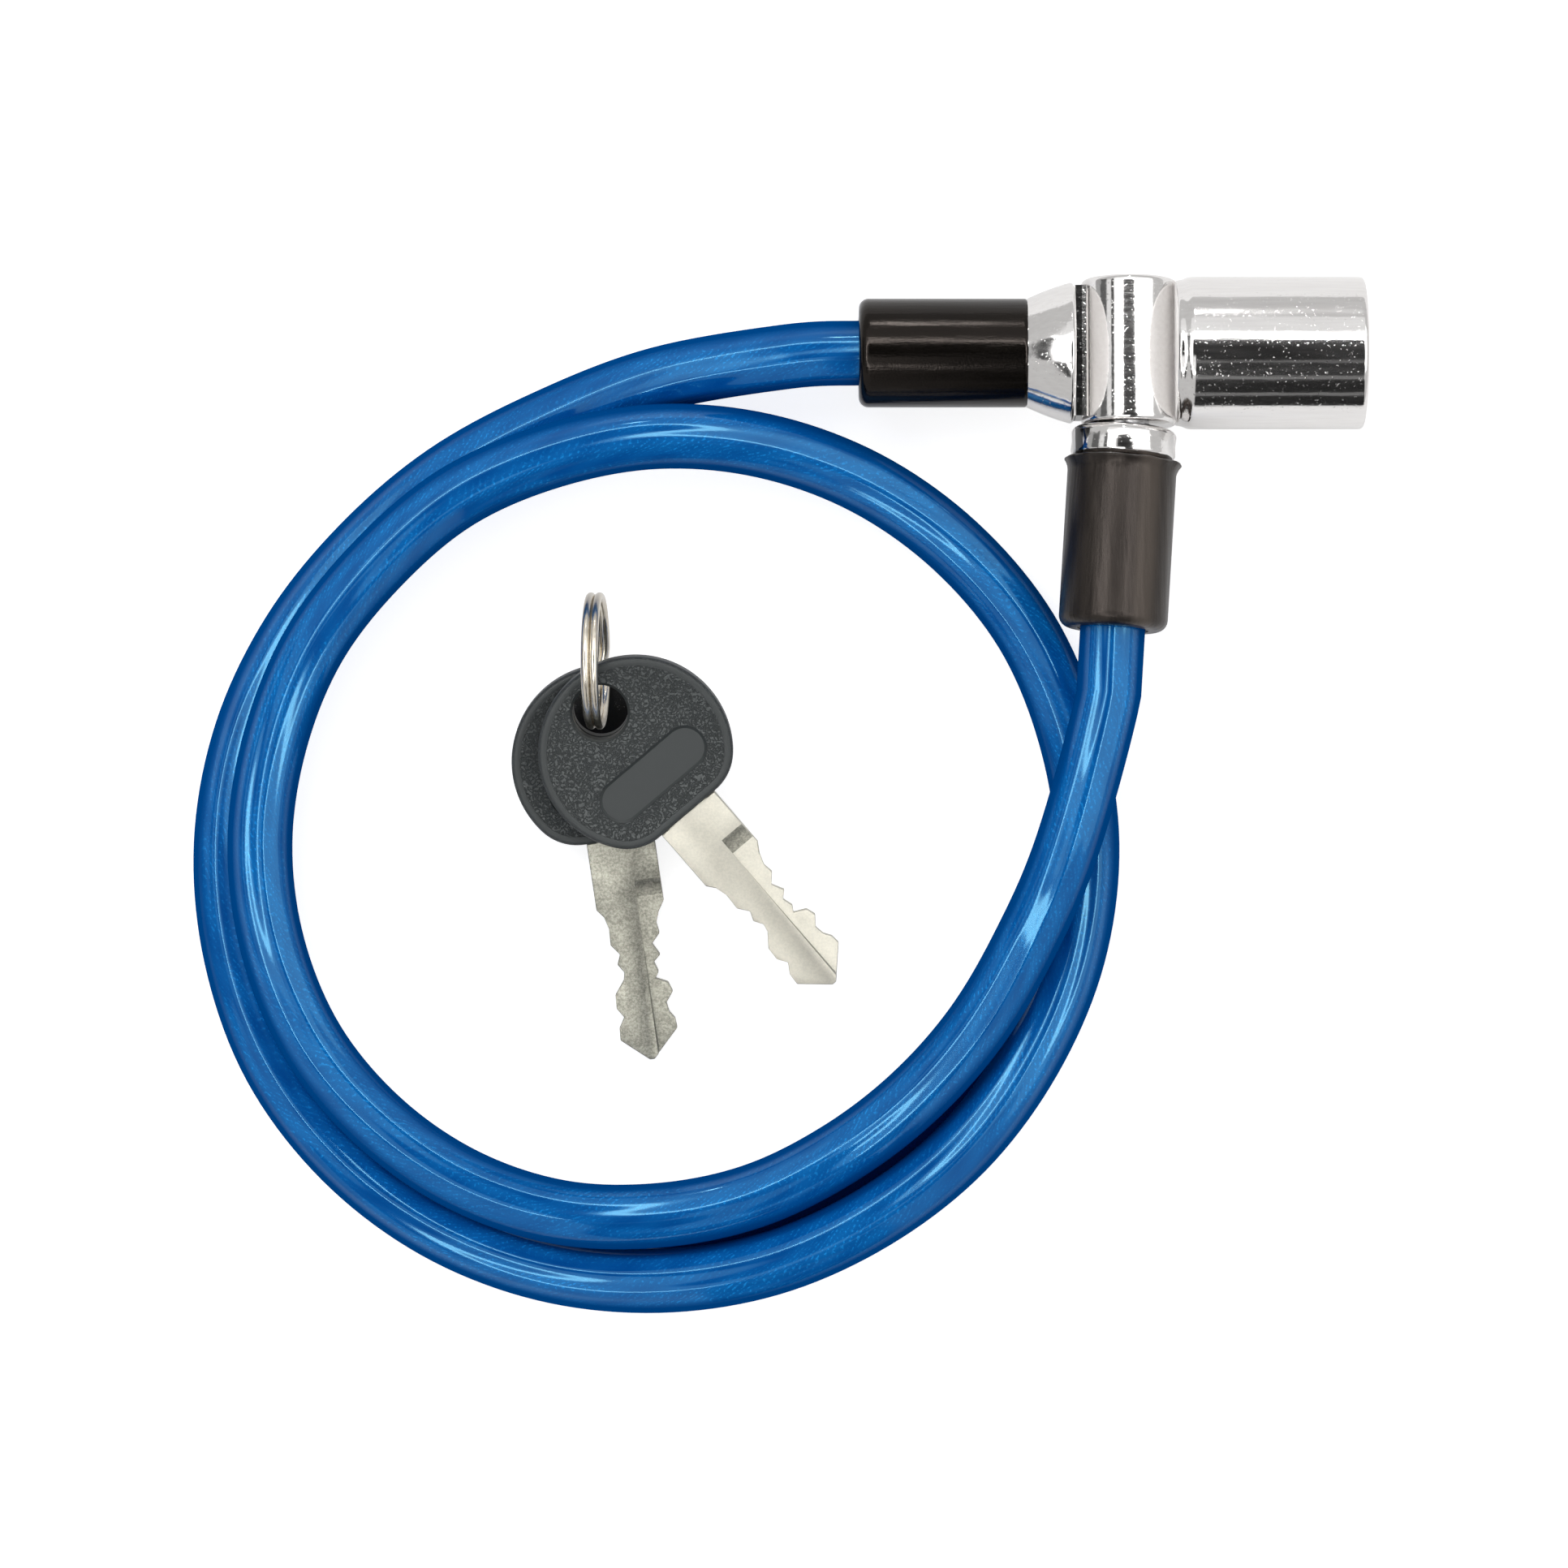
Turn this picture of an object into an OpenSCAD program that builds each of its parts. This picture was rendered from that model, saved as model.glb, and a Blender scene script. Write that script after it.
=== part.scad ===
// Key-operated cable lock. A vinyl-coated steel cable is anchored in one end of a die-cast
// lock head, winds round in a loose double loop and carries a locking plug that goes back
// into the head. Two flat keys hang on a split ring.
//
// Millimetres. X runs along the axis of the round lock barrel, out of its keyhole, and the
// origin is halfway along the barrel. Z is up and the lock lies on the plane z = -barrel_d / 2.

/* [Lock head] */
// Diameter of the round lock barrel
barrel_d = 18.8; // [17:0.2:22]
// Length of the barrel from its shoulder to its face
barrel_l = 22; // [21:0.5:26]
// Diameter of the boss that takes the plug
boss_d = 11.8; // [11:0.2:14]
// Height of the boss along the plug
boss_h = 18; // [17:0.5:22]
// Distance from the barrel's shoulder to the middle of the boss
boss_gap = 6.9; // [6.6:0.1:8]
// Depth of the step from the barrel down to its neck at the boss
neck_step = 0.4; // [0.2:0.1:0.8]
// Rounding of the outer edges of the casting
cast_edge = 0.6; // [0.2:0.1:0.8]
// Length of the cone on the cable side
cone_l = 5.8; // [4:0.2:9]
// Diameter of the cone at its large end
cone_d = 17.4; // [15:0.2:18]
// Width of the groove between the cone and the boss
cone_groove_w = 0.9; // [0.6:0.1:1.5]
// Thickness of the web that joins the cone to the boss across the groove
web_t = 5; // [4:0.5:8]
// Angle that the head is rolled back so that the plug clears the cable below it
head_roll = 5; // [0:0.5:8]

/* [Cable anchor] */
// Diameter of the spigot under the anchored sleeve
spigot_d = 10.8; // [10:0.2:12]
// Length of the spigot beyond the cone
spigot_l = 15.6; // [12:0.2:17]
// Diameter of the steel ferrule on the anchored cable end
ferrule_d = 7.8; // [7:0.1:8]
// Length of the ferrule
ferrule_l = 9; // [7:0.5:10]
// Diameter of the cross pin that holds the ferrule
anchor_pin_d = 2; // [1.5:0.1:2.5]
// Length of the black sleeve over the spigot
anchor_sleeve_l = 20.7; // [18:0.1:24]
// Outer diameter of both black sleeves
sleeve_d = 13.4; // [12.6:0.1:14.5]
// Rounding of the free end of a sleeve
sleeve_round = 1.4; // [0.5:0.1:2]

/* [Lock cylinder] */
// Diameter of the turning key cylinder
cylinder_d = 12; // [11.8:0.1:12.6]
// Diameter of the cylinder's head in the barrel's face
cylinder_head_d = 14.4; // [13.6:0.1:15]
// Thickness of the cylinder's head
cylinder_head_t = 1.2; // [0.8:0.1:2]
// Depth of the cylinder's face below the barrel's face
face_recess = 0.4; // [0:0.1:1]
// Length of the cylinder's solid end behind the last wafer
cylinder_tail_l = 1.7; // [1.6:0.1:2.4]
// Width of the keyway along its long side
keyway_w = 8.8; // [8.6:0.1:9.4]
// Thickness of the keyway
keyway_t = 2.3; // [2.2:0.05:2.6]
// Distance between two wafers
wafer_pitch = 1.9; // [1.7:0.05:2.1]
// Thickness of a wafer
wafer_t = 1; // [0.8:0.05:1.1]
// Width of a wafer
wafer_w = 5; // [4.6:0.1:5.4]
// Diameter of the pin that keeps the cylinder in the barrel
retainer_d = 1.5; // [1.2:0.1:1.6]

/* [Bolt] */
// Diameter of the bolt's nose
bolt_d = 4.4; // [4:0.1:4.6]
// Travel of the bolt from open to locked
bolt_travel = 1.5; // [1.2:0.1:1.6]
// Distance from the cylinder's edge in to the middle of the cam stud
stud_inset = 1.7; // [1.6:0.05:1.9]
// Diameter of the cam stud with its round end
stud_d = 2.2; // [1.8:0.1:2.2]
// Wire diameter of the bolt's return spring
bolt_wire_d = 0.45; // [0.35:0.05:0.5]
// Turns of the return spring
bolt_spring_turns = 2.5; // [1.5:0.5:2.5]

/* [Plug] */
// Diameter of the plug's steel pin
pin_d = 6; // [5.6:0.1:6.2]
// Depth of the pin in the boss, from the boss's lower face
pin_depth = 15.8; // [15:0.2:16.4]
// Diameter of the neck of the pin's locking groove
groove_d = 3.2; // [3:0.1:3.4]
// Width of the locking groove along the pin
groove_w = 5; // [4.8:0.1:5.4]
// Diameter of the chrome collar behind the pin
collar_d = 13; // [11.6:0.2:13.4]
// Height of the collar
collar_h = 4; // [3.4:0.1:5]
// Length of the plug's black sleeve
plug_sleeve_l = 20.9; // [18:0.1:24]
// Diameter of the sleeve's flared rim
sleeve_rim_d = 14.6; // [13.6:0.1:15]
// Angle that the plug leans in its bore towards the cable's pull
plug_lean = 3.6; // [2:0.2:4]

/* [Cable] */
// Outer diameter of the vinyl jacket
cable_d = 8; // [7.4:0.1:8]
// Diameter of the steel wire rope inside the jacket
rope_d = 5; // [3.5:0.1:5.4]

/* [Keys] */
// Diameter of a key's round plastic head
key_head_d = 24; // [22:0.2:26]
// Thickness of a key's head
key_head_t = 3.3; // [3:0.1:3.4]
// Distance from the head's centre to its flat side, where the blade comes out
key_flat = 9.8; // [9:0.1:10.5]
// Rounding of the corners of the flat side
key_corner_r = 6.2; // [3:0.1:7]
// Distance from the head's centre to the ring hole
key_hole_gap = 6.7; // [6:0.1:7.4]
// Diameter of the ring hole
key_hole_d = 6.8; // [6.4:0.1:7]
// Thickness of a key's blade
blade_t = 2; // [1.8:0.05:2]
// Depth of the ward milled along each side of the blade
ward_depth = 0.65; // [0.3:0.05:0.7]
// Diameter of the cutter that mills the ward
ward_cutter_d = 8; // [6:0.5:12]
// Length of the plain recessed pad on the head
pad_l = 15; // [12:0.5:16]
// Width of the pad
pad_w = 4.8; // [4:0.1:5.5]
// Depth of the pad
pad_depth = 0.3; // [0.2:0.05:0.5]
// Angle of the upper key's blade in plan
upper_key_angle = -49.5; // [-60:0.5:-45]
// Angle of the lower key's blade in plan
lower_key_angle = -81.9; // [-90:0.1:-75]

/* [Key ring] */
// Outer diameter of the split ring
ring_d = 17; // [16:0.5:18]
// Wire diameter of the split ring
ring_wire_d = 1.1; // [0.8:0.05:1.2]
// Lean of the ring from upright
ring_lean = 6.5; // [0:0.5:12]

/* [Clearances] */
// Radial clearance of a running fit
running = 0.05; // [0.03:0.01:0.08]
// Clearance between faces that pass each other
face_gap = 0.2; // [0.15:0.05:0.3]

/* [Hidden] */

$fn = 64;
over = 1; // how far a cut runs past the face it opens

table_z = -barrel_d / 2;
face_x = barrel_l / 2;
shoulder_x = -barrel_l / 2;
boss_x = shoulder_x - boss_gap;
neck_overlap = 0.4; // how far the barrel's neck runs over the boss's flank
cone_x = boss_x - boss_d / 2 - cone_groove_w; // large end of the cone
spigot_x = cone_x - cone_l; // small end of the cone
spigot_end_x = spigot_x - spigot_l;
anchor_exit_x = spigot_x - anchor_sleeve_l;
cable_bore_d = cable_d + 2 * running;

// Lock cylinder, measured along X
cylinder_front_x = face_x - face_recess;
head_seat_x = cylinder_front_x - cylinder_head_t - running;
retainer_x = head_seat_x - 2; // middle of the retaining groove
retainer_groove_w = retainer_d + 2 * face_gap;
retainer_groove_d = cylinder_d - 1.8;
groove_wall = 0.5; // between the retaining groove and the first wafer
wafer_slot_t = wafer_t + 2 * running;
first_wafer_x = retainer_x - retainer_groove_w / 2 - groove_wall - wafer_slot_t / 2;
WAFERS = 5;
last_wafer_x = first_wafer_x - (WAFERS - 1) * wafer_pitch;
cylinder_back_x = last_wafer_x - wafer_slot_t / 2 - cylinder_tail_l;
cylinder_l = cylinder_front_x - cylinder_back_x;

// Bolt at rest, drawn back and open; thrown, it moves by bolt_travel towards -X
pin_bore_d = pin_d + 2 * running;
stud_offset = cylinder_d / 2 - stud_inset;
stud_reach = stud_offset * sin(45);
cam_slope = bolt_travel / (2 * stud_reach);
cam_angle = atan(cam_slope);
stud_seat_l = 1.4; // how far the stud's stem is set in to the cylinder
stem_d = stud_d - 0.4;
stud_stem_l = 1.4; // stem between the cylinder's back and the stud's round end
stud_tip_x = cylinder_back_x - stud_stem_l;
cam_x = stud_tip_x + cam_slope * stud_reach - (stud_d / 2 + running) / cos(cam_angle);
flange_d = cylinder_d - 0.9;
flange_x = cam_x - cam_slope * flange_d / 2 - 0.9; // front face of the bolt's flange
chamber_x = flange_x - bolt_travel - face_gap;
chamber_d = flange_d + 2 * running;
spring_pocket_d = bolt_d + 2 * bolt_wire_d + 1.5;
nose_tip_x = boss_x + pin_bore_d / 2 + face_gap;
spring_pocket_x = chamber_x - 1.6;
tip_pocket_d = 7.2; // room behind the cylinder for the lobed tip of a key
lug_w = 2;
lug_r = flange_d / 2 + 1.2;

// Plug, measured along its own axis from the middle of the boss, outwards
boss_face = boss_h / 2;
pin_tip = boss_face - pin_depth;
collar_top = boss_face + 0.4;
collar_bottom = collar_top + collar_h;
flange_h = 1.6; // foot of the plug pin, held inside the collar
pin_foot_d = pin_d + 2.4;
plug_ferrule_l = 9;
plug_ferrule_d = 9.8;
plug_exit = collar_bottom + plug_sleeve_l;
pin_bore_end = pin_tip - 0.6;

// Cable ends inside their fittings
jacket_inner_x = spigot_end_x + 4.5;
ferrule_x = jacket_inner_x; // outer end of the ferrule
anchor_pin_x = ferrule_x + ferrule_l * 0.72;
rope_tail = 3.4; // bare rope beyond the jacket at each end
jacket_plug_end = collar_bottom + 4.2;

// Free run of the cable round the middle of its loops, one point every 15 degrees from 75
// degrees on. Each point has the loop's radius there and how far the cable is lifted off the
// table: the first turn comes down and lies flat, the second climbs over it.
loop_x = -76;
loop_y = -60.5;
loop_start = 75;
loop_step = 15;
LOOP = [
    [62.2, 5.3], [57.4, 3], [54, 1.2], [52.6, 0.3], [51.9, 0], [52.2, 0], [52.9, 0], [53.6, 0],
    [54.2, 0], [54.9, 0], [55, 0], [54.9, 0], [54.6, 0], [54.2, 0], [53.9, 0], [53.5, 0],
    [53.4, 0], [53.2, 0], [53.3, 0], [53.2, 0], [52.8, 0], [52.7, 0.3], [52.1, 1.3], [51.5, 3.2],
    [50.8, 5.4], [50.1, 7.6], [49.4, 8.7], [49.2, 8.6], [48.6, 8.4], [48.7, 8.2], [48.6, 8],
    [48.8, 7.7], [48.9, 7.2], [48.9, 6.7], [48.4, 6], [47.8, 5.3], [47, 4.5], [45.9, 3],
    [45.2, 1.2], [44.5, 0.6], [44.5, 2.2], [45.3, 4.3], [46.9, 6.6], [50.4, 9.3],
];
cable_sides = 12;
ring_steps = 2; // rings of the cable from one point of the run to the next

// Key blade outline from the head's flat side: distance along the blade and half width
BLADE_UPPER_EDGE = [
    [8.4, 4.2], [9.7, 3.4], [11.1, 2.9], [12.4, 3.1], [13.6, 2], [15.1, 2.8], [15.9, 1.9], [17.2, 2.3],
    [18, 1.8], [18.7, 3.3], [19.9, 3.7], [21.2, 2.7], [22.4, 2.9], [23.3, 3.5], [24.5, 3.6], [27.9, 0.3],
];
BLADE_LOWER_EDGE = [
    [27.9, -0.3], [25, -3.6], [23.5, -3.5], [22.2, -2.7], [21, -3.5], [19.3, -3.4], [17.6, -2.1],
    [16.6, -1.9], [15.5, -2.6], [14.3, -2.1], [13, -3.1], [10.9, -3], [9.4, -3.4], [8.4, -4.2],
];
blade_w = 8.4;
blade_root = 6; // how far the blade's shank runs into the head
shank_w = 6;
ward_start = 5.3;
ward_offset = 0.9; // from the blade's middle line
ward_end = 28.4;

// Both keys hang on the ring at one point, tilted so that the lower key's tip meets the table
key_x = -83;
key_y = -43.9;
key_z = table_z + 8.9;
key_tilt = 8;
key_stack_gap = 0.2;
ring_x = -83.65;
ring_y = -37.9;
ring_wire_r = ring_d / 2 - ring_wire_d / 2;
ring_turn_gap = 0.92 * ring_wire_d; // from one turn's wire to the next
ring_z = table_z + ring_wire_r * cos(ring_lean) + ring_turn_gap / 2 * sin(ring_lean)
    + ring_wire_d / 2 + 0.02;

chrome = "gainsboro";
steel = "silver";
black_plastic = "dimgray";
black_vinyl = [0.09, 0.09, 0.09];

// ---- Frames

module in_head() {
    rotate([-head_roll, 0, 0]) children();
}

// Children's Z runs along +X, starting at x
module along_x(x) {
    translate([x, 0, 0]) rotate([0, 90, 0]) children();
}

// Children's Z runs outwards along the plug, starting at distance s from the boss's middle
module along_plug(s) {
    translate([boss_x, 0, 0]) rotate([0, 0, -plug_lean]) translate([0, -s, 0]) rotate([90, 0, 0])
        children();
}

function on_plug(s) = [
    boss_x - s * sin(plug_lean),
    -s * cos(plug_lean) * cos(head_roll),
    s * cos(plug_lean) * sin(head_roll),
];

// ---- Round solids

// Cylinder with a quarter round of radius r at each end that has one
module rounded_rod(d, h, low_r = 0, high_r = 0) {
    rotate_extrude() intersection() {
        union() {
            translate([0, low_r]) square([d / 2, h - low_r - high_r]);
            square([d / 2 - low_r, h / 2]);
            translate([0, h / 2]) square([d / 2 - high_r, h / 2]);
            if (low_r > 0) translate([d / 2 - low_r, low_r]) circle(r = low_r, $fn = 32);
            if (high_r > 0) translate([d / 2 - high_r, h - high_r]) circle(r = high_r, $fn = 32);
        }
        square([d, h]);
    }
}

// Ring with rounded outer edges, its hole left to the caller
module bead(d, h) {
    rounded_rod(d, h, h * 0.3, h * 0.3);
}

module hole(d, h) {
    translate([0, 0, -over]) cylinder(d = d, h = h + 2 * over);
}

// ---- Cable

function unit(v) = v / norm(v);

function loop_point(i) = [
    loop_x + LOOP[i][0] * cos(loop_start + loop_step * i),
    loop_y + LOOP[i][0] * sin(loop_start + loop_step * i),
    table_z + cable_d / 2 + LOOP[i][1],
];

// Points that the free run goes through, from the anchored sleeve to the plug's sleeve
RUN = concat(
    [[anchor_exit_x, 0, 0]],
    [for (i = [0 : len(LOOP) - 1]) loop_point(i)],
    [on_plug(plug_exit + cable_d), on_plug(plug_exit)]
);

// Smooth curve through four neighbouring points, between the middle two
function blended(a, b, c, d, t) = 0.5 * (
    2 * b + (c - a) * t + (2 * a - 5 * b + 4 * c - d) * t * t + (3 * b - a - 3 * c + d) * t * t * t
);

function run_between(i, t) = let (last = len(RUN) - 1)
    blended(RUN[max(i - 1, 0)], RUN[i], RUN[i + 1], RUN[min(i + 2, last)], t);

FREE_RUN = concat(
    [for (i = [0 : len(RUN) - 3], k = [0 : ring_steps - 1]) run_between(i, k / ring_steps)],
    [RUN[len(RUN) - 2], RUN[len(RUN) - 1]]
);
JACKET_PATH = concat([[jacket_inner_x, 0, 0]], FREE_RUN, [on_plug(jacket_plug_end)]);
ROPE_PATH = concat(
    [[jacket_inner_x + rope_tail, 0, 0], [jacket_inner_x, 0, 0]],
    FREE_RUN,
    [on_plug(jacket_plug_end), on_plug(jacket_plug_end - rope_tail)]
);

function path_direction(p, i) = i == 0 ? unit(p[1] - p[0])
    : i == len(p) - 1 ? unit(p[i] - p[i - 1])
    : unit(unit(p[i + 1] - p[i]) + unit(p[i] - p[i - 1]));

function path_ring(p, i, d) = let (
        ahead = path_direction(p, i),
        side = unit(cross([0, 0, 1], ahead)),
        up = cross(ahead, side)
    ) [for (k = [0 : cable_sides - 1]) let (a = 360 * k / cable_sides)
        p[i] + d / 2 * (cos(a) * side + sin(a) * up)];

function path_rings(p, d) = [for (i = [0 : len(p) - 1]) each path_ring(p, i, d)];

// Triangles of the wall between each ring and the next; first is the index of its first point
function wall_faces(rings, first, inside) = [
    for (i = [0 : rings - 2], k = [0 : cable_sides - 1])
        let (
            a = first + i * cable_sides + k,
            b = first + i * cable_sides + (k + 1) % cable_sides,
            c = a + cable_sides,
            d = b + cable_sides
        )
        each (inside ? [[a, b, c], [b, d, c]] : [[a, c, b], [b, c, d]])
];

// Triangles of a flat end between the outer ring at a0 and the inner ring at b0
function end_faces(a0, b0, near_end) = [
    for (k = [0 : cable_sides - 1])
        let (n = (k + 1) % cable_sides)
        each (near_end ? [[a0 + k, a0 + n, b0 + k], [a0 + n, b0 + n, b0 + k]]
            : [[a0 + k, b0 + k, a0 + n], [a0 + n, b0 + k, b0 + n]])
];

module solid_cord(p, d) {
    count = len(p);
    polyhedron(
        points = path_rings(p, d),
        faces = concat(
            wall_faces(count, 0, false),
            [[for (k = [0 : cable_sides - 1]) k]],
            [[for (k = [cable_sides - 1 : -1 : 0]) (count - 1) * cable_sides + k]]
        )
    );
}

module hollow_cord(p, d, bore) {
    count = len(p);
    inner = count * cable_sides;
    last = (count - 1) * cable_sides;
    polyhedron(
        points = concat(path_rings(p, d), path_rings(p, bore)),
        faces = concat(
            wall_faces(count, 0, false),
            wall_faces(count, inner, true),
            end_faces(0, inner, true),
            end_faces(last, inner + last, false)
        )
    );
}

function path_length(p, i = 1) = i == len(p) ? 0 : norm(p[i] - p[i - 1]) + path_length(p, i + 1);

// Least distance between centre points of the cable that lie more than a quarter turn apart
QUARTER_TURN = 12;
least_centre_gap = min([
    for (i = [0 : len(FREE_RUN) - 1], j = [0 : len(FREE_RUN) - 1])
        if (j > i + QUARTER_TURN) norm(FREE_RUN[i] - FREE_RUN[j])
]);
echo(cable_least_gap_to_itself = least_centre_gap - cable_d);
echo(cable_free_length = path_length(FREE_RUN), jacket_length = path_length(JACKET_PATH));

module cable_jacket() {
    color([0, 0.31, 0.65]) hollow_cord(JACKET_PATH, cable_d, rope_d + 2 * running);
}

module wire_rope() {
    color(steel) solid_cord(ROPE_PATH, rope_d);
}

// ---- Lock head

module barrel_body() {
    neck_l = boss_gap - boss_d / 2 + neck_overlap;
    along_x(shoulder_x - neck_l) rounded_rod(barrel_d - 2 * neck_step, neck_l + over, cast_edge, 0);
    along_x(shoulder_x) rounded_rod(barrel_d, barrel_l, neck_step, cast_edge);
}

module boss_body() {
    translate([boss_x, boss_face, 0]) rotate([90, 0, 0]) rounded_rod(boss_d, boss_h, cast_edge, cast_edge);
}

module cable_cone() {
    foot = [sleeve_d / 2, 0];
    edge = [cone_d / 2 - cast_edge, cone_l - cast_edge]; // centre of the rounded edge
    span = norm(edge - foot);
    tangent_l = sqrt(span * span - cast_edge * cast_edge);
    slope = atan2(edge.y - foot.y, edge.x - foot.x) - asin(cast_edge / span);
    tangent = foot + tangent_l * [cos(slope), sin(slope)];
    along_x(spigot_x) rotate_extrude() {
        polygon([[0, 0], foot, tangent, [edge.x, cone_l], [0, cone_l]]);
        translate(edge) circle(r = cast_edge, $fn = 32);
    }
    // web across the groove
    web_w = cone_d - 2 * cast_edge;
    translate([cone_x - over, -web_w / 2, -web_t / 2]) cube([boss_x - cone_x + over, web_w, web_t]);
}

module spigot() {
    along_x(spigot_end_x) cylinder(d = spigot_d, h = spigot_l + over);
}

module housing_bores() {
    // cable and ferrule
    along_x(spigot_end_x - over)
        cylinder(d = cable_bore_d, h = ferrule_x - spigot_end_x + ferrule_l + 2 * over);
    translate([anchor_pin_x, 0, 0]) cylinder(d = anchor_pin_d, h = 2 * spigot_d, center = true);
    // key cylinder and its head
    along_x(cylinder_back_x) cylinder(d = cylinder_d + 2 * running, h = cylinder_l + over);
    along_x(head_seat_x)
        cylinder(d = cylinder_head_d + 2 * running, h = cylinder_head_t + face_recess + over);
    // grooves that the wafers spring into when the lock is locked
    translate([(cylinder_back_x + head_seat_x) / 2, 0, 0])
        cube([head_seat_x - cylinder_back_x - 1, wafer_w + 4 * running, cylinder_d + 1.8], center = true);
    // bolt chamber with its guide slot, spring pocket and nose guide
    along_x(chamber_x) cylinder(d = chamber_d, h = cylinder_back_x - chamber_x + over);
    translate([chamber_x, -lug_w / 2 - running, 0])
        cube([cylinder_back_x - chamber_x, lug_w + 2 * running, lug_r + running]);
    along_x(spring_pocket_x) cylinder(d = spring_pocket_d, h = chamber_x - spring_pocket_x + over);
    along_x(boss_x) cylinder(d = bolt_d + 2 * running, h = spring_pocket_x - boss_x + over);
    // plug
    along_plug(pin_bore_end) cylinder(d = pin_bore_d, h = boss_h);
    // retaining pin, driven in from below
    translate([retainer_x, 0, -barrel_d]) cylinder(d = retainer_d, h = barrel_d);
}

module lock_housing() {
    color(chrome) in_head() difference() {
        union() {
            barrel_body();
            boss_body();
            cable_cone();
            spigot();
        }
        housing_bores();
    }
}

module anchor_sleeve() {
    color(black_vinyl) in_head() difference() {
        along_x(anchor_exit_x) rounded_rod(sleeve_d, anchor_sleeve_l, sleeve_round, 0);
        along_x(spigot_end_x - running) cylinder(d = spigot_d + 2 * running, h = spigot_l + 2);
        along_x(anchor_exit_x - over) cylinder(d = cable_bore_d, h = anchor_sleeve_l);
    }
}

module anchor_pin() {
    color(steel) in_head() translate([anchor_pin_x, 0, 0])
        cylinder(d = anchor_pin_d, h = spigot_d - 0.6, center = true);
}

module anchor_ferrule() {
    color(steel) in_head() difference() {
        along_x(ferrule_x) cylinder(d = ferrule_d, h = ferrule_l);
        along_x(ferrule_x - over) cylinder(d = rope_d + 2 * running, h = rope_tail + 0.2 + over);
        translate([anchor_pin_x, 0, 0]) cylinder(d = anchor_pin_d, h = 2 * ferrule_d, center = true);
    }
}

// ---- Lock cylinder, with the key turned to open

function wafer_x(i) = first_wafer_x - i * wafer_pitch;

wafer_ear_w = 1.5;
wafer_ear_h = 1.2;
wafer_spring_d = wafer_slot_t;
wafer_spring_l = 2.6;
wafer_spring_y = wafer_w / 2 + wafer_ear_w / 2;

module wafer(i) {
    window_w = keyway_t + 0.3;
    window_h = keyway_w - 1 - 0.3 * (i % 3);
    color("goldenrod") in_head() translate([wafer_x(i) - wafer_t / 2, 0, 0]) difference() {
        union() {
            intersection() {
                translate([0, -wafer_w / 2, -cylinder_d / 2]) cube([wafer_t, wafer_w, cylinder_d]);
                along_x(0) cylinder(d = cylinder_d - 0.2, h = wafer_t);
            }
            cube([wafer_t, wafer_w / 2 + wafer_ear_w, wafer_ear_h]);
        }
        translate([-over, -window_w / 2, -window_h / 2]) cube([wafer_t + 2 * over, window_w, window_h]);
    }
}

module wafer_1() { wafer(0); }
module wafer_2() { wafer(1); }
module wafer_3() { wafer(2); }
module wafer_4() { wafer(3); }
module wafer_5() { wafer(4); }

module wafer_slot(i) {
    translate([wafer_x(i) - wafer_slot_t / 2, -wafer_w / 2 - running, -cylinder_d])
        cube([wafer_slot_t, wafer_w + 2 * running, 2 * cylinder_d]);
    // side pocket for the wafer's ear and the spring under it
    translate([wafer_x(i) - wafer_slot_t / 2, 0, -wafer_spring_l - 0.1])
        cube([wafer_slot_t, wafer_w / 2 + wafer_ear_w + running, wafer_spring_l + wafer_ear_h + 0.7]);
}

module key_cylinder() {
    color(steel) in_head() difference() {
        union() {
            along_x(cylinder_back_x) cylinder(d = cylinder_d, h = cylinder_l);
            along_x(head_seat_x + running) cylinder(d = cylinder_head_d, h = cylinder_head_t);
        }
        // keyway, right through, so that a key's tip can turn behind the cylinder
        translate([cylinder_back_x - over, -keyway_t / 2, -keyway_w / 2])
            cube([cylinder_l + 2 * over, keyway_t, keyway_w]);
        for (i = [0 : WAFERS - 1]) wafer_slot(i);
        along_x(retainer_x - retainer_groove_w / 2) difference() {
            cylinder(d = cylinder_d + 2, h = retainer_groove_w);
            hole(retainer_groove_d, retainer_groove_w);
        }
        translate([cylinder_back_x, 0, 0]) stud_seat() cylinder(d = stem_d, h = stud_seat_l);
    }
}

// Place of the cam stud: at rest it stands 45 degrees before the bottom
module stud_seat() {
    rotate([45, 0, 0]) translate([0, -stud_offset, 0]) rotate([0, 90, 0]) children();
}

module cam_stud() {
    stem = cylinder_back_x - stud_tip_x;
    color(steel) in_head() translate([stud_tip_x, 0, 0]) stud_seat() {
        sphere(d = stud_d);
        cylinder(d = stud_d, h = stem);
        cylinder(d = stem_d, h = stem + stud_seat_l);
    }
}

module coil_spring(mean_d, wire_d, length, turns) {
    steps = 8;
    sides = 6;
    count = ceil(turns * steps) + 1;
    rise = (length - wire_d) / (count - 1);
    ring_points = [for (i = [0 : count - 1], k = [0 : sides - 1])
        let (a = 360 * i / steps, b = 360 * k / sides, r = mean_d / 2 + wire_d / 2 * cos(b))
        [r * cos(a), r * sin(a), wire_d / 2 + rise * i + wire_d / 2 * sin(b)]];
    polyhedron(
        points = ring_points,
        faces = concat(
            [for (i = [0 : count - 2], k = [0 : sides - 1])
                let (a = i * sides + k, b = i * sides + (k + 1) % sides, c = a + sides, d = b + sides)
                each [[a, b, c], [b, d, c]]],
            [[for (k = [sides - 1 : -1 : 0]) k]],
            [[for (k = [0 : sides - 1]) (count - 1) * sides + k]]
        )
    );
}

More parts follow.
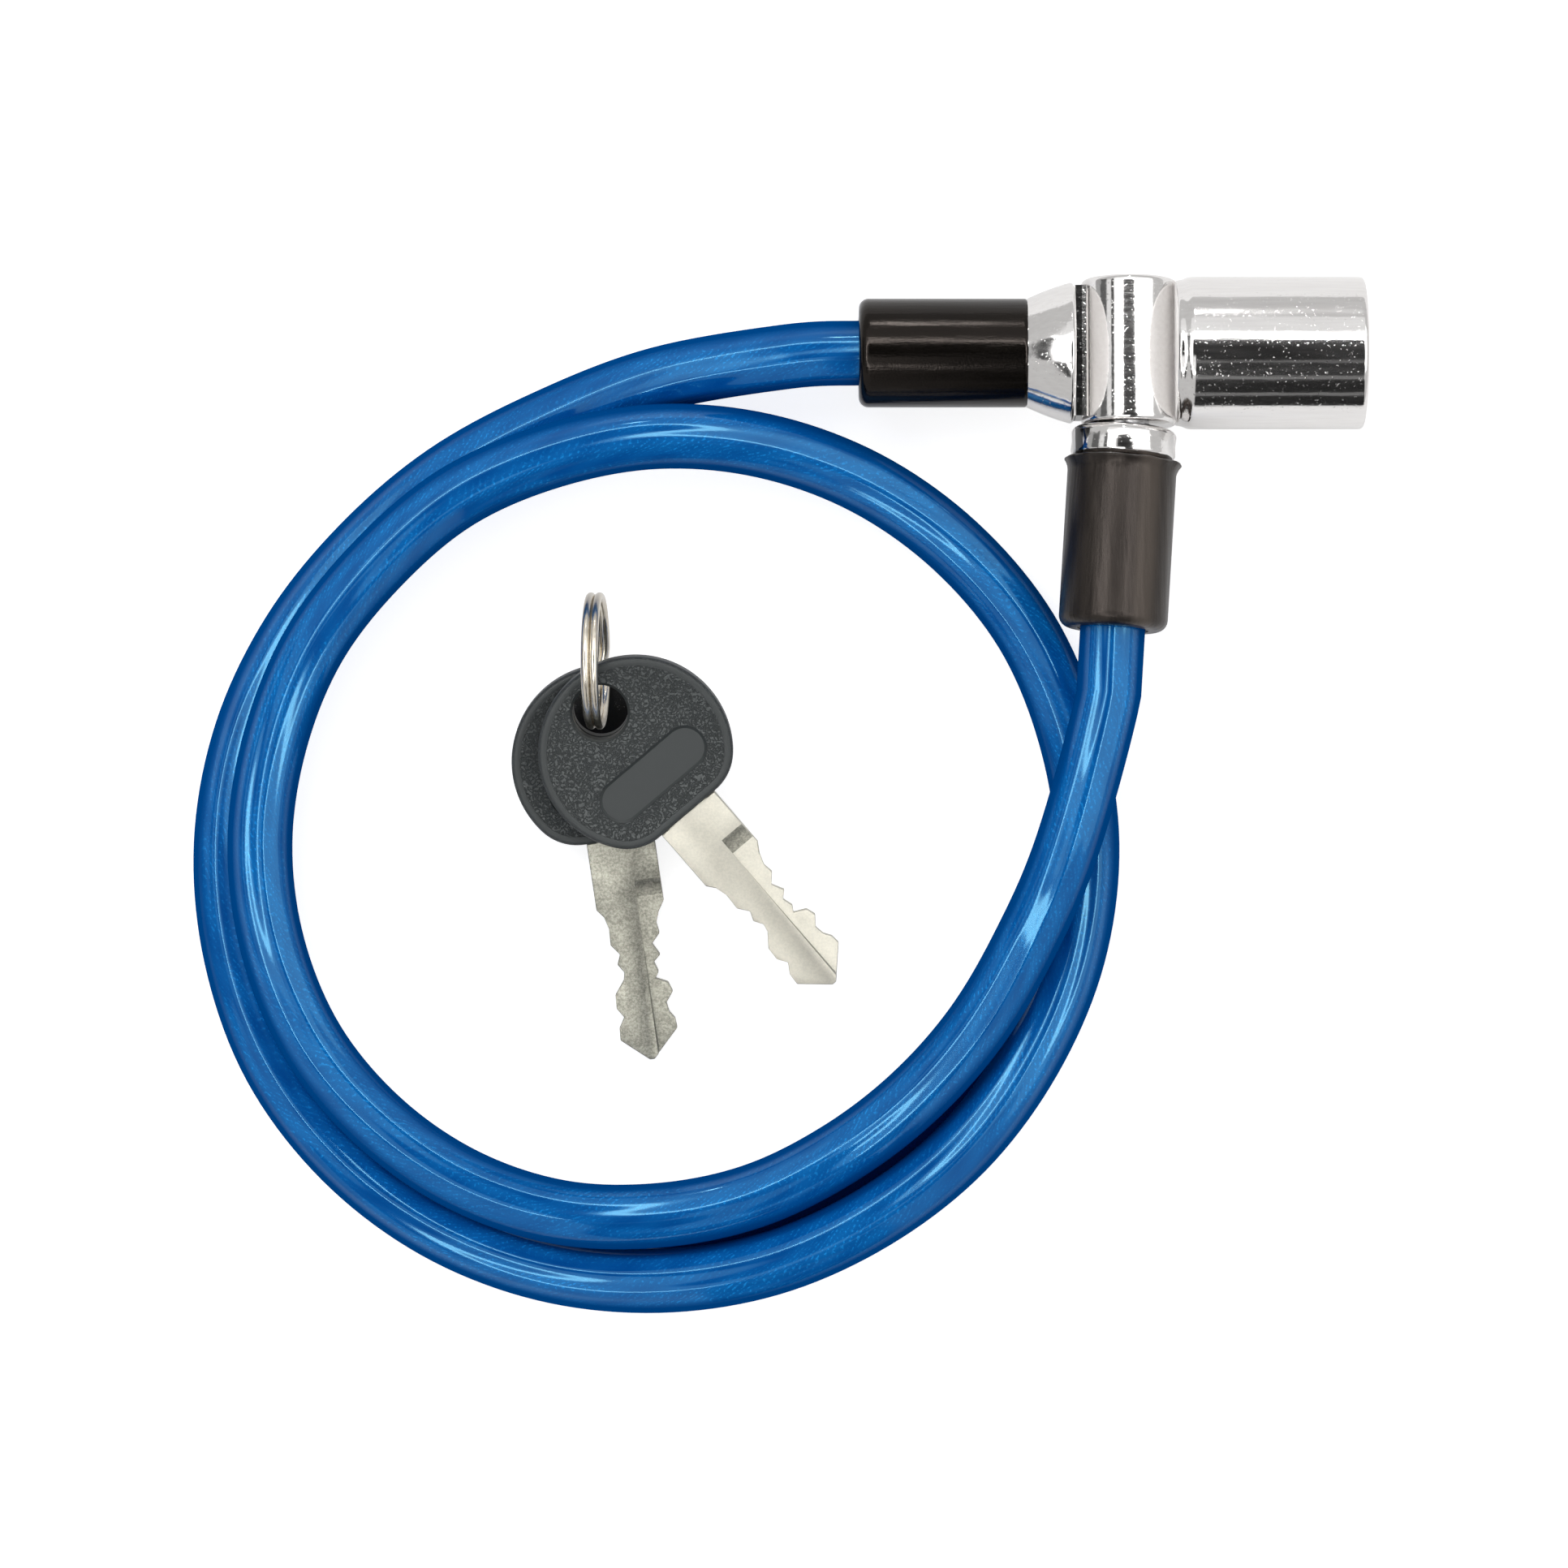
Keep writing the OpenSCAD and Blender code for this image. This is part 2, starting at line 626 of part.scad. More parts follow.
module wafer_springs() {
    wire = 0.22;
    color(steel) in_head() for (i = [0 : WAFERS - 1])
        translate([wafer_x(i), wafer_spring_y, -wafer_spring_l])
            coil_spring(wafer_spring_d - wire - 0.1, wire, wafer_spring_l - 0.05, 3);
}

module cylinder_retainer() {
    top = -retainer_groove_d / 2 - face_gap;
    foot = -barrel_d / 2 + 0.5;
    color(steel) in_head() translate([retainer_x, 0, foot]) cylinder(d = retainer_d, h = top - foot);
}

// ---- Bolt

module locking_bolt() {
    nose_l = flange_x - nose_tip_x;
    cut = 2 * flange_d; // larger than the bolt
    color("lightsteelblue") in_head() difference() {
        union() {
            along_x(nose_tip_x + 0.4) cylinder(d = bolt_d, h = nose_l);
            along_x(nose_tip_x) cylinder(d1 = bolt_d - 0.8, d2 = bolt_d, h = 0.4);
            along_x(flange_x) cylinder(d = flange_d, h = 4);
            translate([flange_x, -lug_w / 2, 0]) cube([1.2, lug_w, lug_r]);
        }
        // wedge face that the cam stud runs along
        translate([cam_x, 0, 0]) rotate([0, 0, -cam_angle]) translate([0, -cut, -cut])
            cube([cut, 2 * cut, 2 * cut]);
        along_x(flange_x + 0.8) cylinder(d = tip_pocket_d, h = cut);
    }
}

module bolt_spring() {
    length = flange_x - spring_pocket_x - 2 * running;
    color(steel) in_head() along_x(spring_pocket_x + running)
        coil_spring(bolt_d + bolt_wire_d + 0.5, bolt_wire_d, length, bolt_spring_turns);
}

// ---- Plug

module plug_pin() {
    nose = 1.2;
    color(steel) in_head() along_plug(pin_tip) difference() {
        union() {
            cylinder(d1 = pin_d - 2 * nose, d2 = pin_d, h = nose);
            translate([0, 0, nose]) cylinder(d = pin_d, h = collar_bottom - pin_tip - nose);
            translate([0, 0, collar_bottom - flange_h - pin_tip]) cylinder(d = pin_foot_d, h = flange_h);
        }
        translate([0, 0, -groove_w / 2 - pin_tip]) difference() {
            cylinder(d = pin_d + 2, h = groove_w);
            hole(groove_d, groove_w);
        }
    }
}

module plug_collar() {
    color(chrome) in_head() along_plug(collar_top) difference() {
        bead(collar_d, collar_h);
        hole(pin_d + 2 * running, collar_h);
        translate([0, 0, collar_h - flange_h - running])
            cylinder(d = pin_foot_d + 2 * running, h = collar_h);
    }
}

module plug_ferrule() {
    floor_t = 0.6;
    color(steel) in_head() along_plug(collar_bottom) difference() {
        cylinder(d = plug_ferrule_d, h = plug_ferrule_l);
        translate([0, 0, floor_t]) cylinder(d = rope_d + 2 * running, h = plug_ferrule_l);
        translate([0, 0, jacket_plug_end - collar_bottom]) cylinder(d = cable_bore_d, h = plug_ferrule_l);
    }
}

module plug_sleeve() {
    rim_h = 1.8;
    color(black_vinyl) in_head() along_plug(collar_bottom) difference() {
        union() {
            rounded_rod(sleeve_d, plug_sleeve_l, 0, sleeve_round);
            cylinder(d1 = sleeve_rim_d, d2 = sleeve_d, h = rim_h);
        }
        translate([0, 0, -over])
            cylinder(d = plug_ferrule_d + 2 * running, h = plug_ferrule_l + running + over);
        hole(cable_bore_d, plug_sleeve_l);
    }
}

// ---- Keys

module in_keys(angle, level) {
    translate([key_x, key_y, key_z]) rotate([key_tilt, 0, 0]) translate([0, 0, level])
        rotate([0, 0, angle]) translate([key_hole_gap, 0, 0]) children();
}

// Disc with one flat side, whose corners are rounded in to the disc's edge
module key_outline() {
    corner_x = key_flat - key_corner_r;
    corner_reach = key_head_d / 2 - key_corner_r;
    corner_y = sqrt(corner_reach * corner_reach - corner_x * corner_x);
    disc_x = corner_x * key_head_d / 2 / corner_reach; // where the rounding meets the disc
    intersection() {
        circle(d = key_head_d);
        translate([-key_head_d, -key_head_d]) square([key_head_d + disc_x, 2 * key_head_d]);
    }
    translate([0, -corner_y]) square([key_flat, 2 * corner_y]);
    for (side = [-1, 1]) translate([corner_x, side * corner_y]) circle(r = key_corner_r);
}

module key_head() {
    edge = 0.5;
    difference() {
        intersection() {
            translate([0, 0, -key_head_t / 2]) rounded_rod(key_head_d, key_head_t, edge, edge);
            translate([0, 0, -key_head_t]) linear_extrude(2 * key_head_t) key_outline();
        }
        translate([-key_hole_gap, 0, -key_head_t]) hole(key_hole_d, 2 * key_head_t);
        for (side = [0, 1]) mirror([0, 0, side])
            translate([key_hole_gap / 2, 0, key_head_t / 2 - pad_depth]) pad();
        shank_slot();
    }
}

module pad() {
    reach = (pad_l - pad_w) / 2;
    for (side = [-1, 1]) translate([0, side * reach, 0]) cylinder(d = pad_w, h = 2);
    translate([-pad_w / 2, -reach, 0]) cube([pad_w, 2 * reach, 2]);
}

// Room in the head for the part of the blade inside it
module shank_slot() {
    translate([key_flat - blade_root - running, -shank_w / 2 - running, -blade_t / 2 - running])
        cube([blade_root + running + over, shank_w + 2 * running, blade_t + 2 * running]);
}

module blade_outline() {
    polygon(concat(
        [[-blade_root, -shank_w / 2], [running, -shank_w / 2], [running, -blade_w / 2]],
        [for (i = [len(BLADE_LOWER_EDGE) - 1 : -1 : 0]) BLADE_LOWER_EDGE[i]],
        [for (i = [len(BLADE_UPPER_EDGE) - 1 : -1 : 0]) BLADE_UPPER_EDGE[i]],
        [[running, blade_w / 2], [running, shank_w / 2], [-blade_root, shank_w / 2]]
    ));
}

module key_blade() {
    translate([key_flat, 0, -blade_t / 2]) difference() {
        linear_extrude(blade_t) blade_outline();
        ward();
        translate([0, 0, blade_t]) rotate([180, 0, 0]) ward();
    }
}

// Ward along one side of the blade, which the round cutter leaves with a ramp at its start
module ward() {
    cutter_r = ward_cutter_d / 2;
    floor_z = blade_t - ward_depth;
    ramp_l = sqrt(cutter_r * cutter_r - (cutter_r - ward_depth) * (cutter_r - ward_depth));
    translate([ward_start + ramp_l, ward_offset, floor_z]) cube([ward_end, blade_w, blade_t]);
    translate([ward_start + ramp_l, ward_offset, floor_z + cutter_r]) rotate([-90, 0, 0])
        cylinder(d = ward_cutter_d, h = blade_w);
}

key_level = (key_head_t + key_stack_gap) / 2;

module upper_key_head() {
    color(black_plastic) in_keys(upper_key_angle, key_level) key_head();
}

module upper_key_blade() {
    color("lightgray") in_keys(upper_key_angle, key_level) key_blade();
}

module lower_key_head() {
    color(black_plastic) in_keys(lower_key_angle, -key_level) key_head();
}

module lower_key_blade() {
    color("lightgray") in_keys(lower_key_angle, -key_level) key_blade();
}

// Two turns of wire, pressed against each other
module key_ring() {
    color(steel) translate([ring_x, ring_y, ring_z]) rotate([0, 90 - ring_lean, 0])
        rotate_extrude() for (side = [-1, 1])
            translate([ring_wire_r, side * ring_turn_gap / 2]) circle(d = ring_wire_d, $fn = 24);
}

lock_housing();
anchor_sleeve();
anchor_pin();
anchor_ferrule();
wire_rope();
cable_jacket();
key_cylinder();
cam_stud();
wafer_1();
wafer_2();
wafer_3();
wafer_4();
wafer_5();
wafer_springs();
cylinder_retainer();
locking_bolt();
bolt_spring();
plug_pin();
plug_collar();
plug_ferrule();
plug_sleeve();
key_ring();
upper_key_head();
upper_key_blade();
lower_key_head();
lower_key_blade();
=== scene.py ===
"""Keyed cable lock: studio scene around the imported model, in the model's own frame. Sizes of the
lock are in millimetres and degrees, the studio's and the meshes' are in metres."""

import math

import bpy
from mathutils import Matrix, Vector


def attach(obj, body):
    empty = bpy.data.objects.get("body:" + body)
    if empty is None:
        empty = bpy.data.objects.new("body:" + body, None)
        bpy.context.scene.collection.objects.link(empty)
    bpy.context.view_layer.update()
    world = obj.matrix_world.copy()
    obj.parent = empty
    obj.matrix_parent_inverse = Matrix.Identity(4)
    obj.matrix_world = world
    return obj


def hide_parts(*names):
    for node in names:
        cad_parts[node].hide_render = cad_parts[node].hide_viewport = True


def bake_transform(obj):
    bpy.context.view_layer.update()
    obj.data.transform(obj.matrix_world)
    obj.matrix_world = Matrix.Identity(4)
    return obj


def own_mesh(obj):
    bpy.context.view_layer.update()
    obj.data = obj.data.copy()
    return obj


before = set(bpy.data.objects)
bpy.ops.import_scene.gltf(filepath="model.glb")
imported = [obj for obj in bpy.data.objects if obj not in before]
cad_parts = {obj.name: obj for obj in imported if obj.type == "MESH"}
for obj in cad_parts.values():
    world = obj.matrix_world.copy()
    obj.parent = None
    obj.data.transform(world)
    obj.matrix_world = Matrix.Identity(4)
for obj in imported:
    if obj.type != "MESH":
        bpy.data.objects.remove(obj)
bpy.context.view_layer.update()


# ---- Sizes of the lock

MM = 0.001

# Lock head, along its barrel
FACE = 11
SHOULDER = -11
NECK_END = -12.4
BOSS_X = -17.9
CONE = -24.7
SPIGOT = -30.5
SPIGOT_END = -46.1
SLEEVE_END = -51.2
BARREL_R = 9.4
NECK_STEP = 0.4
CONE_R = 8.7
GROOVE_X = CONE + 0.5
SPIGOT_R = 5.4
SLEEVE_R = 6.7
MOUTH_R = 4.45
WEB_T = 5
WEB_W = 16.2
WEB_END = -18
EDGE = 0.6
HEAD_ROLL = math.radians(-5)

# Boss and plug, outwards along the plug from the boss's middle
BOSS_R = 5.9
BOSS_FACE = 9
COLLAR_TOP = 9.4
COLLAR_BOTTOM = 13.4
PLUG_EXIT = 34.3
COLLAR_R = 6.5
RIM_R = 7.3
PIN_BORE_R = 3.05
PIN_BORE_END = -7.4
PLUG_LEAN = math.radians(3.6)

# Works inside the head, along its barrel
SPRING_SEAT = -11.9
CHAMBER = -10.3
CYLINDER_BACK = -5
CYLINDER_FRONT = 9.4
GUIDE_R = 2.25
SPRING_POCKET_R = 3.4
CHAMBER_R = 5.6
CYLINDER_BORE_R = 6.06
CYLINDER_RIM_R = 7.25
LUG_W = 2.12
LUG_R = 6.81

# Cable
CABLE_D = 8
ROPE_D = 5
CORD_BORE_R = 4.05
CORD_BORE_END = -32.55
STRAND_LAY = 42
LOOP_MIDDLE = Vector((-76, -60.5, 0))
ANCHOR_EXIT = Vector((SLEEVE_END, 0, 0))
TUCK = 2.5

# Keys and their ring
KEY_HOLE = Vector((-83, -43.9, -0.5))
KEY_TILT = 8
KEY_LEVEL = 1.75
HEAD_R = 12
HEAD_T = 3.3
FLAT = 9.8
FLAT_CORNER = 6.2
HOLE_GAP = 6.7
HOLE_R = 3.4
SHANK_SLOT_W = 6.1
SHANK_SLOT_T = 2.1
PAD_L = 15
PAD_W = 4.8
PAD_DEPTH = 0.42
RIM_W = 0.4
RIM_STEP = 0.12
WIRE_R = 0.53
RING_R = 7.95
RING_MIDDLE = Vector((-83.65, -37.9, -0.874))
RING_LEAN = 4


# ---- Placing and selecting


def turned_about(axis, degrees):
    return Matrix.Rotation(math.radians(degrees), 4, axis)


def moved(x, y, z):
    return Matrix.Translation(Vector((x, y, z)) * MM)


TABLE_Z = -BARREL_R * MM
IN_HEAD = Matrix.Rotation(HEAD_ROLL, 4, "X")
IN_BOSS = IN_HEAD @ Matrix.Translation((BOSS_X * MM, 0, 0))
ALONG_BARREL = IN_HEAD @ turned_about("Y", 90)
ALONG_BOSS = IN_BOSS @ turned_about("X", 90)
PIVOT = moved(*KEY_HOLE) @ turned_about("X", KEY_TILT)


def along_plug(s):
    """Place whose Z runs outwards along the plug, starting s mm from the boss's middle."""
    lean = Matrix.Rotation(-PLUG_LEAN, 4, "Z")
    return IN_BOSS @ lean @ moved(0, -s, 0) @ turned_about("X", 90)


def select_only(*objects):
    if bpy.context.object and bpy.context.object.mode != "OBJECT":
        bpy.ops.object.mode_set(mode="OBJECT")
    bpy.ops.object.select_all(action="DESELECT")
    for item in objects:
        item.select_set(True)
    if objects:
        bpy.context.view_layer.objects.active = objects[0]


def settle(piece, place=None):
    """Puts the piece at its place and keeps that place in its mesh."""
    if place is not None:
        piece.matrix_world = place @ piece.matrix_world
    select_only(piece)
    bpy.ops.object.transform_apply(location=True, rotation=True, scale=True)


def clean_normals(piece):
    select_only(piece)
    bpy.ops.object.mode_set(mode="EDIT")
    bpy.ops.mesh.select_all(action="SELECT")
    bpy.ops.mesh.remove_doubles(threshold=0.002 * MM)
    bpy.ops.mesh.normals_make_consistent(inside=False)
    bpy.ops.object.mode_set(mode="OBJECT")


def smooth(piece, degrees=32):
    select_only(piece)
    bpy.ops.object.shade_smooth_by_angle(angle=math.radians(degrees))


def apply_modifier(piece, kind, **settings):
    select_only(piece)
    modifier = piece.modifiers.new(kind.lower(), kind)
    for name, value in settings.items():
        setattr(modifier, name, value)
    bpy.ops.object.modifier_apply(modifier=modifier.name)


def cut_or_join(piece, tool, operation):
    apply_modifier(piece, "BOOLEAN", object=tool, operation=operation, solver="EXACT")
    bpy.data.objects.remove(tool)


# ---- Shaping


def corner(height, radius, size, start, end, steps=6):
    """Quarter round of a turned profile: points from angle start to end about a centre."""
    return [
        (height + size * math.sin(math.radians(a)), radius + size * math.cos(math.radians(a)))
        for a in (start + (end - start) * k / steps for k in range(steps + 1))
    ]


def turned(name, profile, place, sides=96):
    """Turned piece: a disc extruded and scaled from one (height, radius) of its profile, in mm,
    to the next."""
    select_only()
    first_height, first_radius = profile[0]
    bpy.ops.mesh.primitive_circle_add(
        vertices=sides, radius=first_radius * MM, fill_type="NGON", location=(0, 0, first_height * MM)
    )
    piece = bpy.context.object
    piece.name = name
    bpy.ops.object.mode_set(mode="EDIT")
    for (height, radius), (next_height, next_radius) in zip(profile, profile[1:]):
        bpy.ops.mesh.extrude_region_move(
            TRANSFORM_OT_translate={"value": (0, 0, (next_height - height) * MM)}
        )
        share = next_radius / radius
        bpy.ops.transform.resize(value=(share, share, 1), center_override=(0, 0, next_height * MM))
    bpy.ops.object.mode_set(mode="OBJECT")
    settle(piece, place)
    clean_normals(piece)
    return piece


def smoothed_copy(node, body, finish, slot, edge=0.0):
    """Stands for a CAD node whose shape is right, with its mesh merged, its flat faces joined, its
    edges broken by edge mm and its shading smooth."""
    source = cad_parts[node]
    piece = source.copy()
    piece.data = source.data.copy()
    piece.name = node + "_finished"
    piece.parent = None
    for key in list(piece.keys()):
        del piece[key]
    bpy.context.scene.collection.objects.link(piece)
    piece.data.materials.clear()
    select_only(piece)
    bpy.ops.object.mode_set(mode="EDIT")
    bpy.ops.mesh.select_all(action="SELECT")
    bpy.ops.mesh.remove_doubles(threshold=0.001 * MM)
    bpy.ops.mesh.dissolve_limited(angle_limit=math.radians(0.5))
    bpy.ops.object.mode_set(mode="OBJECT")
    if edge:
        break_edges(piece, edge)
    smooth(piece)
    dress(piece, finish, slot, body, node)
    return piece


def break_edges(piece, width, segments=2):
    sharp = {"limit_method": "ANGLE", "angle_limit": math.radians(38)}
    apply_modifier(piece, "BEVEL", width=width * MM, segments=segments, **sharp)


def dress(piece, finish, slot, body=None, *nodes):
    piece.data.materials.clear()
    piece.data.materials.append(finish)
    if nodes:
        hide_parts(*nodes)
    if body:
        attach(piece, body)


# ---- Shader arithmetic


class Value:
    """Output of a shader node that Python's operators can be used on."""

    def __init__(self, finish, socket):
        self.finish = finish
        self.socket = socket

    def maths(self, operation, *operands):
        inputs = dict(enumerate(operands))
        return self.finish.node("ShaderNodeMath", {"operation": operation}, inputs)

    def __add__(self, other):
        return self.maths("ADD", self, other)

    __radd__ = __add__

    def __mul__(self, other):
        return self.maths("MULTIPLY", self, other)

    __rmul__ = __mul__

    def __sub__(self, other):
        return self.maths("SUBTRACT", self, other)

    def __rsub__(self, other):
        return self.maths("SUBTRACT", other, self)

    def sine(self):
        return self.maths("SINE", self)

    def at_most(self, limit):
        return self.maths("MINIMUM", self, limit)

    def magnitude(self):
        return self.maths("ABSOLUTE", self)

    def length(self):
        return self.finish.node("ShaderNodeVectorMath", {"operation": "LENGTH"}, {0: self}, "Value")

    def near(self, middle, inside, outside):
        """1 within inside of the middle, 0 further than outside, smooth in between."""
        return 1 - (self - middle).magnitude().between(inside, outside)

    def between(self, low, high):
        """0 below low, 1 above high, smooth in between."""
        settings = {"interpolation_type": "SMOOTHSTEP"}
        return self.finish.node("ShaderNodeMapRange", settings, {0: self, 1: low, 2: high})


class Finish:
    """A material under construction."""

    def __init__(self, name):
        self.material = bpy.data.materials.new(name)
        self.material.use_nodes = True
        self.tree = self.material.node_tree
        self.tree.nodes.clear()

    def node(self, kind, settings=None, inputs=None, output=0):
        made = self.tree.nodes.new(kind)
        for name, value in (settings or {}).items():
            setattr(made, name, value)
        for key, value in (inputs or {}).items():
            socket = made.inputs[key]
            if isinstance(value, Value):
                self.tree.links.new(value.socket, socket)
            elif isinstance(value, tuple) and len(value) == 3 and socket.type == "RGBA":
                socket.default_value = (*value, 1)
            else:
                socket.default_value = value
        return Value(self, made.outputs[output]) if made.outputs else None

    def place(self, scale=(1, 1, 1), rotation=(0, 0, 0), location=(0, 0, 0)):
        """Object coordinates in millimetres, stretched, turned and then moved."""
        here = self.node("ShaderNodeTexCoord", output="Object")
        factors = tuple(share / MM for share in scale)
        inputs = {"Vector": here, "Scale": factors, "Rotation": rotation, "Location": location}
        return self.node("ShaderNodeMapping", {"vector_type": "POINT"}, inputs)

    def from_point(self, point, degrees=0):
        """Object coordinates in millimetres from a point, turned about Z."""
        turn = Matrix.Rotation(math.radians(degrees), 3, "Z")
        return self.place(rotation=(0, 0, math.radians(degrees)), location=-(turn @ point))

    def part(self, vector, axis):
        return self.node("ShaderNodeSeparateXYZ", None, {"Vector": vector}, axis)

    def noise(self, at, size, detail=3.0, roughness=0.5):
        """Noise whose features are size mm across where at is in mm."""
        inputs = {"Vector": at, "Scale": 1 / size, "Detail": detail, "Roughness": roughness}
        return self.node("ShaderNodeTexNoise", None, inputs)

    def blend(self, share, first, second):
        """Colour that goes from first to second."""
        return self.node("ShaderNodeMix", {"data_type": "RGBA"}, {0: share, 6: first, 7: second}, 2)

    def relief(self, height, depth, under=None):
        """Bump of a height field whose full range is depth mm, laid over another bump or none."""
        inputs = {"Height": height, "Distance": depth * MM}
        if under is not None:
            inputs["Normal"] = under
        return self.node("ShaderNodeBump", None, inputs)

    def surface(self, **inputs):
        named = {name.replace("_", " "): value for name, value in inputs.items()}
        shader = self.node("ShaderNodeBsdfPrincipled", None, named)
        self.node("ShaderNodeOutputMaterial", None, {"Surface": shader})
        return self.material


# ---- Finishes


def chrome_casting():
    """Polished plate with polishing streaks, fine pits and the slow ripple of a die casting, with
    painted shade in the groove beside the boss, where its colour is almost black. It is satin where the
    cone and the barrel begin."""
    finish = Finish("chrome_casting")
    at = finish.place(rotation=(-HEAD_ROLL, 0, 0))
    drawn = finish.place(scale=(0.07, 1, 1), rotation=(-HEAD_ROLL, 0, 0))
    streaks = finish.noise(drawn, 0.45, detail=4)
    pits = finish.noise(at, 0.35, detail=2).between(0.62, 0.8)
    ripple = finish.relief(finish.noise(at, 2.2, detail=1.5), 0.012)
    grain = finish.relief(streaks, 0.006, under=ripple)
    shallow = finish.relief(pits, 0.01, under=grain)
    along = finish.part(at, "X")
    # painted shade: the plate's colour goes almost black in the groove beside the boss
    groove_shade = along.near(GROOVE_X, 0.38, 0.46)
    satin = along.near(CONE, 0.12, 0.2) + along.near(NECK_END, 0.12, 0.2)
    plate = finish.blend(streaks, (0.74, 0.72, 0.71), (0.86, 0.85, 0.84))
    return finish.surface(
        Base_Color=finish.blend(groove_shade * 0.9, plate, (0.05, 0.05, 0.05)),
        Metallic=1.0,
        Roughness=0.05 + 0.09 * streaks + 0.08 * pits + 0.5 * satin,
        Normal=shallow,
    )


def plain_steel(name, low, high, roughness):
    finish = Finish(name)
    at = finish.place()
    cloud = finish.noise(at, 0.6, detail=3)
    fine = finish.noise(at, 0.12, detail=2)
    return finish.surface(
        Base_Color=finish.blend(cloud, low, high),
        Metallic=1.0,
        Roughness=roughness - 0.06 + 0.16 * cloud,
        Normal=finish.relief(fine, 0.004),
    )


def black_vinyl(name, low, high, roughness, streaked):
    """Black sleeve. The plug's is streaked along and has a painted highlight, a paler line along its
    side.
    """
    sheen_line_x = -14.6
    finish = Finish(name)
    at = finish.place(rotation=(-HEAD_ROLL, 0, 0))
    stretch = (1, 0.08, 1) if streaked else (0.12, 1, 1)
    cloud = finish.noise(finish.place(scale=stretch), 1.3, detail=4)
    grain = finish.noise(at, 0.22, detail=2)
    swell = finish.relief(cloud, 0.12 if streaked else 0.05)
    colour = finish.blend(cloud.between(0.35, 0.75), low, high)
    if streaked:
        across = finish.part(finish.place(rotation=(0, 0, PLUG_LEAN)), "X")
        # painted highlight: the plug sleeve's colour is paler along a line on its side
        painted_sheen = across.near(sheen_line_x, 0.5, 1.9) * (0.6 + 0.4 * cloud)
        colour = finish.blend(painted_sheen, colour, (0.085, 0.071, 0.06))
    return finish.surface(
        Base_Color=colour,
        Roughness=roughness + 0.14 * grain,
        Specular_IOR_Level=0.4 if streaked else 0.28,
        Specular_Tint=(1.0, 0.86, 0.78),
        Normal=finish.relief(grain, 0.008, under=swell),
    )


def ripples(turns, count):
    """Even waves between 0 and 1, so many to each turn."""
    return (turns * (2 * math.pi * count)).sine() * 0.5 + 0.5


def blue_vinyl():
    """Blue vinyl over twisted strands, with long shallow ribs and streaks drawn out along it."""
    streak_l = 34
    rib_lay = 900
    finish = Finish("blue_vinyl")
    along, around = cable_coordinates(finish)
    angle = around * (2 * math.pi)
    section = {0: along * (1 / streak_l), 1: angle.sine(), 2: (angle + math.pi / 2).sine()}
    drawn = finish.node("ShaderNodeCombineXYZ", None, section)
    patches = finish.noise(drawn, 0.45, detail=3).between(0.3, 0.7)
    drift = patches * 0.04
    lay = along * (1 / STRAND_LAY) + around + drift
    wires = ripples(lay, 40)
    strands = ripples(lay, 6)
    ribs = ripples(along * (1 / rib_lay) + around, 10)
    flecks = finish.noise(finish.place(), 0.35, detail=3).between(0.45, 0.65)
    glints = wires.between(0.4, 1.0) * flecks * patches
    shade = patches * 0.25 + strands * 0.1 + glints * 0.8
    colour = finish.blend(shade.at_most(1.0), (0.0, 0.094, 0.4), (0.012, 0.33, 0.93))
    wavy = finish.relief(finish.noise(drawn, 0.5, detail=0.0), 0.13)
    lobes = finish.relief(ribs, 0.14, under=wavy)
    vinyl = finish.node("ShaderNodeBsdfPrincipled", None, {
        "Base Color": colour,
        "Roughness": 0.1,
        "Specular IOR Level": 0.9,
        "Specular Tint": (0.3, 0.78, 1.0),
        "Normal": lobes,
    })
    depth = finish.node("ShaderNodeBsdfDiffuse", None, {"Color": (0.0, 0.075, 0.31)})
    edge = finish.node("ShaderNodeLayerWeight", None, {"Blend": 0.5}, "Facing").between(0.16, 0.5)
    both = finish.node("ShaderNodeMixShader", None, {0: edge, 1: vinyl, 2: depth})
    finish.node("ShaderNodeOutputMaterial", None, {"Surface": both})
    return finish.material


def cable_coordinates(finish):
    """Millimetres along the cable and turns around it, from its own UV map in metres and turns."""
    uv = finish.node("ShaderNodeUVMap", {"uv_map": "run"})
    parts = finish.node("ShaderNodeSeparateXYZ", None, {"Vector": uv})
    return parts * (1 / MM), Value(finish, parts.socket.node.outputs["Y"])


def strand_steel():
    finish = Finish("strand_steel")
    along, around = cable_coordinates(finish)
    wires = ((along * (1 / STRAND_LAY) + around) * (2 * math.pi * 34)).sine()
    return finish.surface(
        Base_Color=(0.55, 0.56, 0.58),
        Metallic=1.0,
        Roughness=0.32 + 0.08 * wires,
        Normal=finish.relief(wires, 0.06),
    )


def key_plastic():
    """Leather-grained plastic, smooth on the rims and in the pads, which lie higher and lower."""
    finish = Finish("key_plastic")
    at = finish.place()
    warp = finish.noise(at, 0.9, detail=2)
    ridges = finish.noise(at, 0.45, detail=3, roughness=0.55)
    grain = (ridges - 0.5).magnitude().between(0.0, 0.1)
    to_keys = {"rotation": (math.radians(-KEY_TILT), 0, 0), "location": PIVOT.inverted().translation / MM}
    across = finish.part(finish.place(**to_keys), "Z")
    rough = (across.magnitude() - KEY_LEVEL).magnitude().near(HEAD_T / 2 - RIM_STEP, 0.03, 0.06)
    leather = grain * rough
    tone = 0.28 + rough * (0.6 * grain + 0.12)
    return finish.surface(
        Base_Color=finish.blend(tone, (0.014, 0.019, 0.02), (0.07, 0.08, 0.08)),
        Roughness=0.42 + 0.14 * warp,
        Specular_IOR_Level=0.4,
        Normal=finish.relief(leather, 0.13),
    )


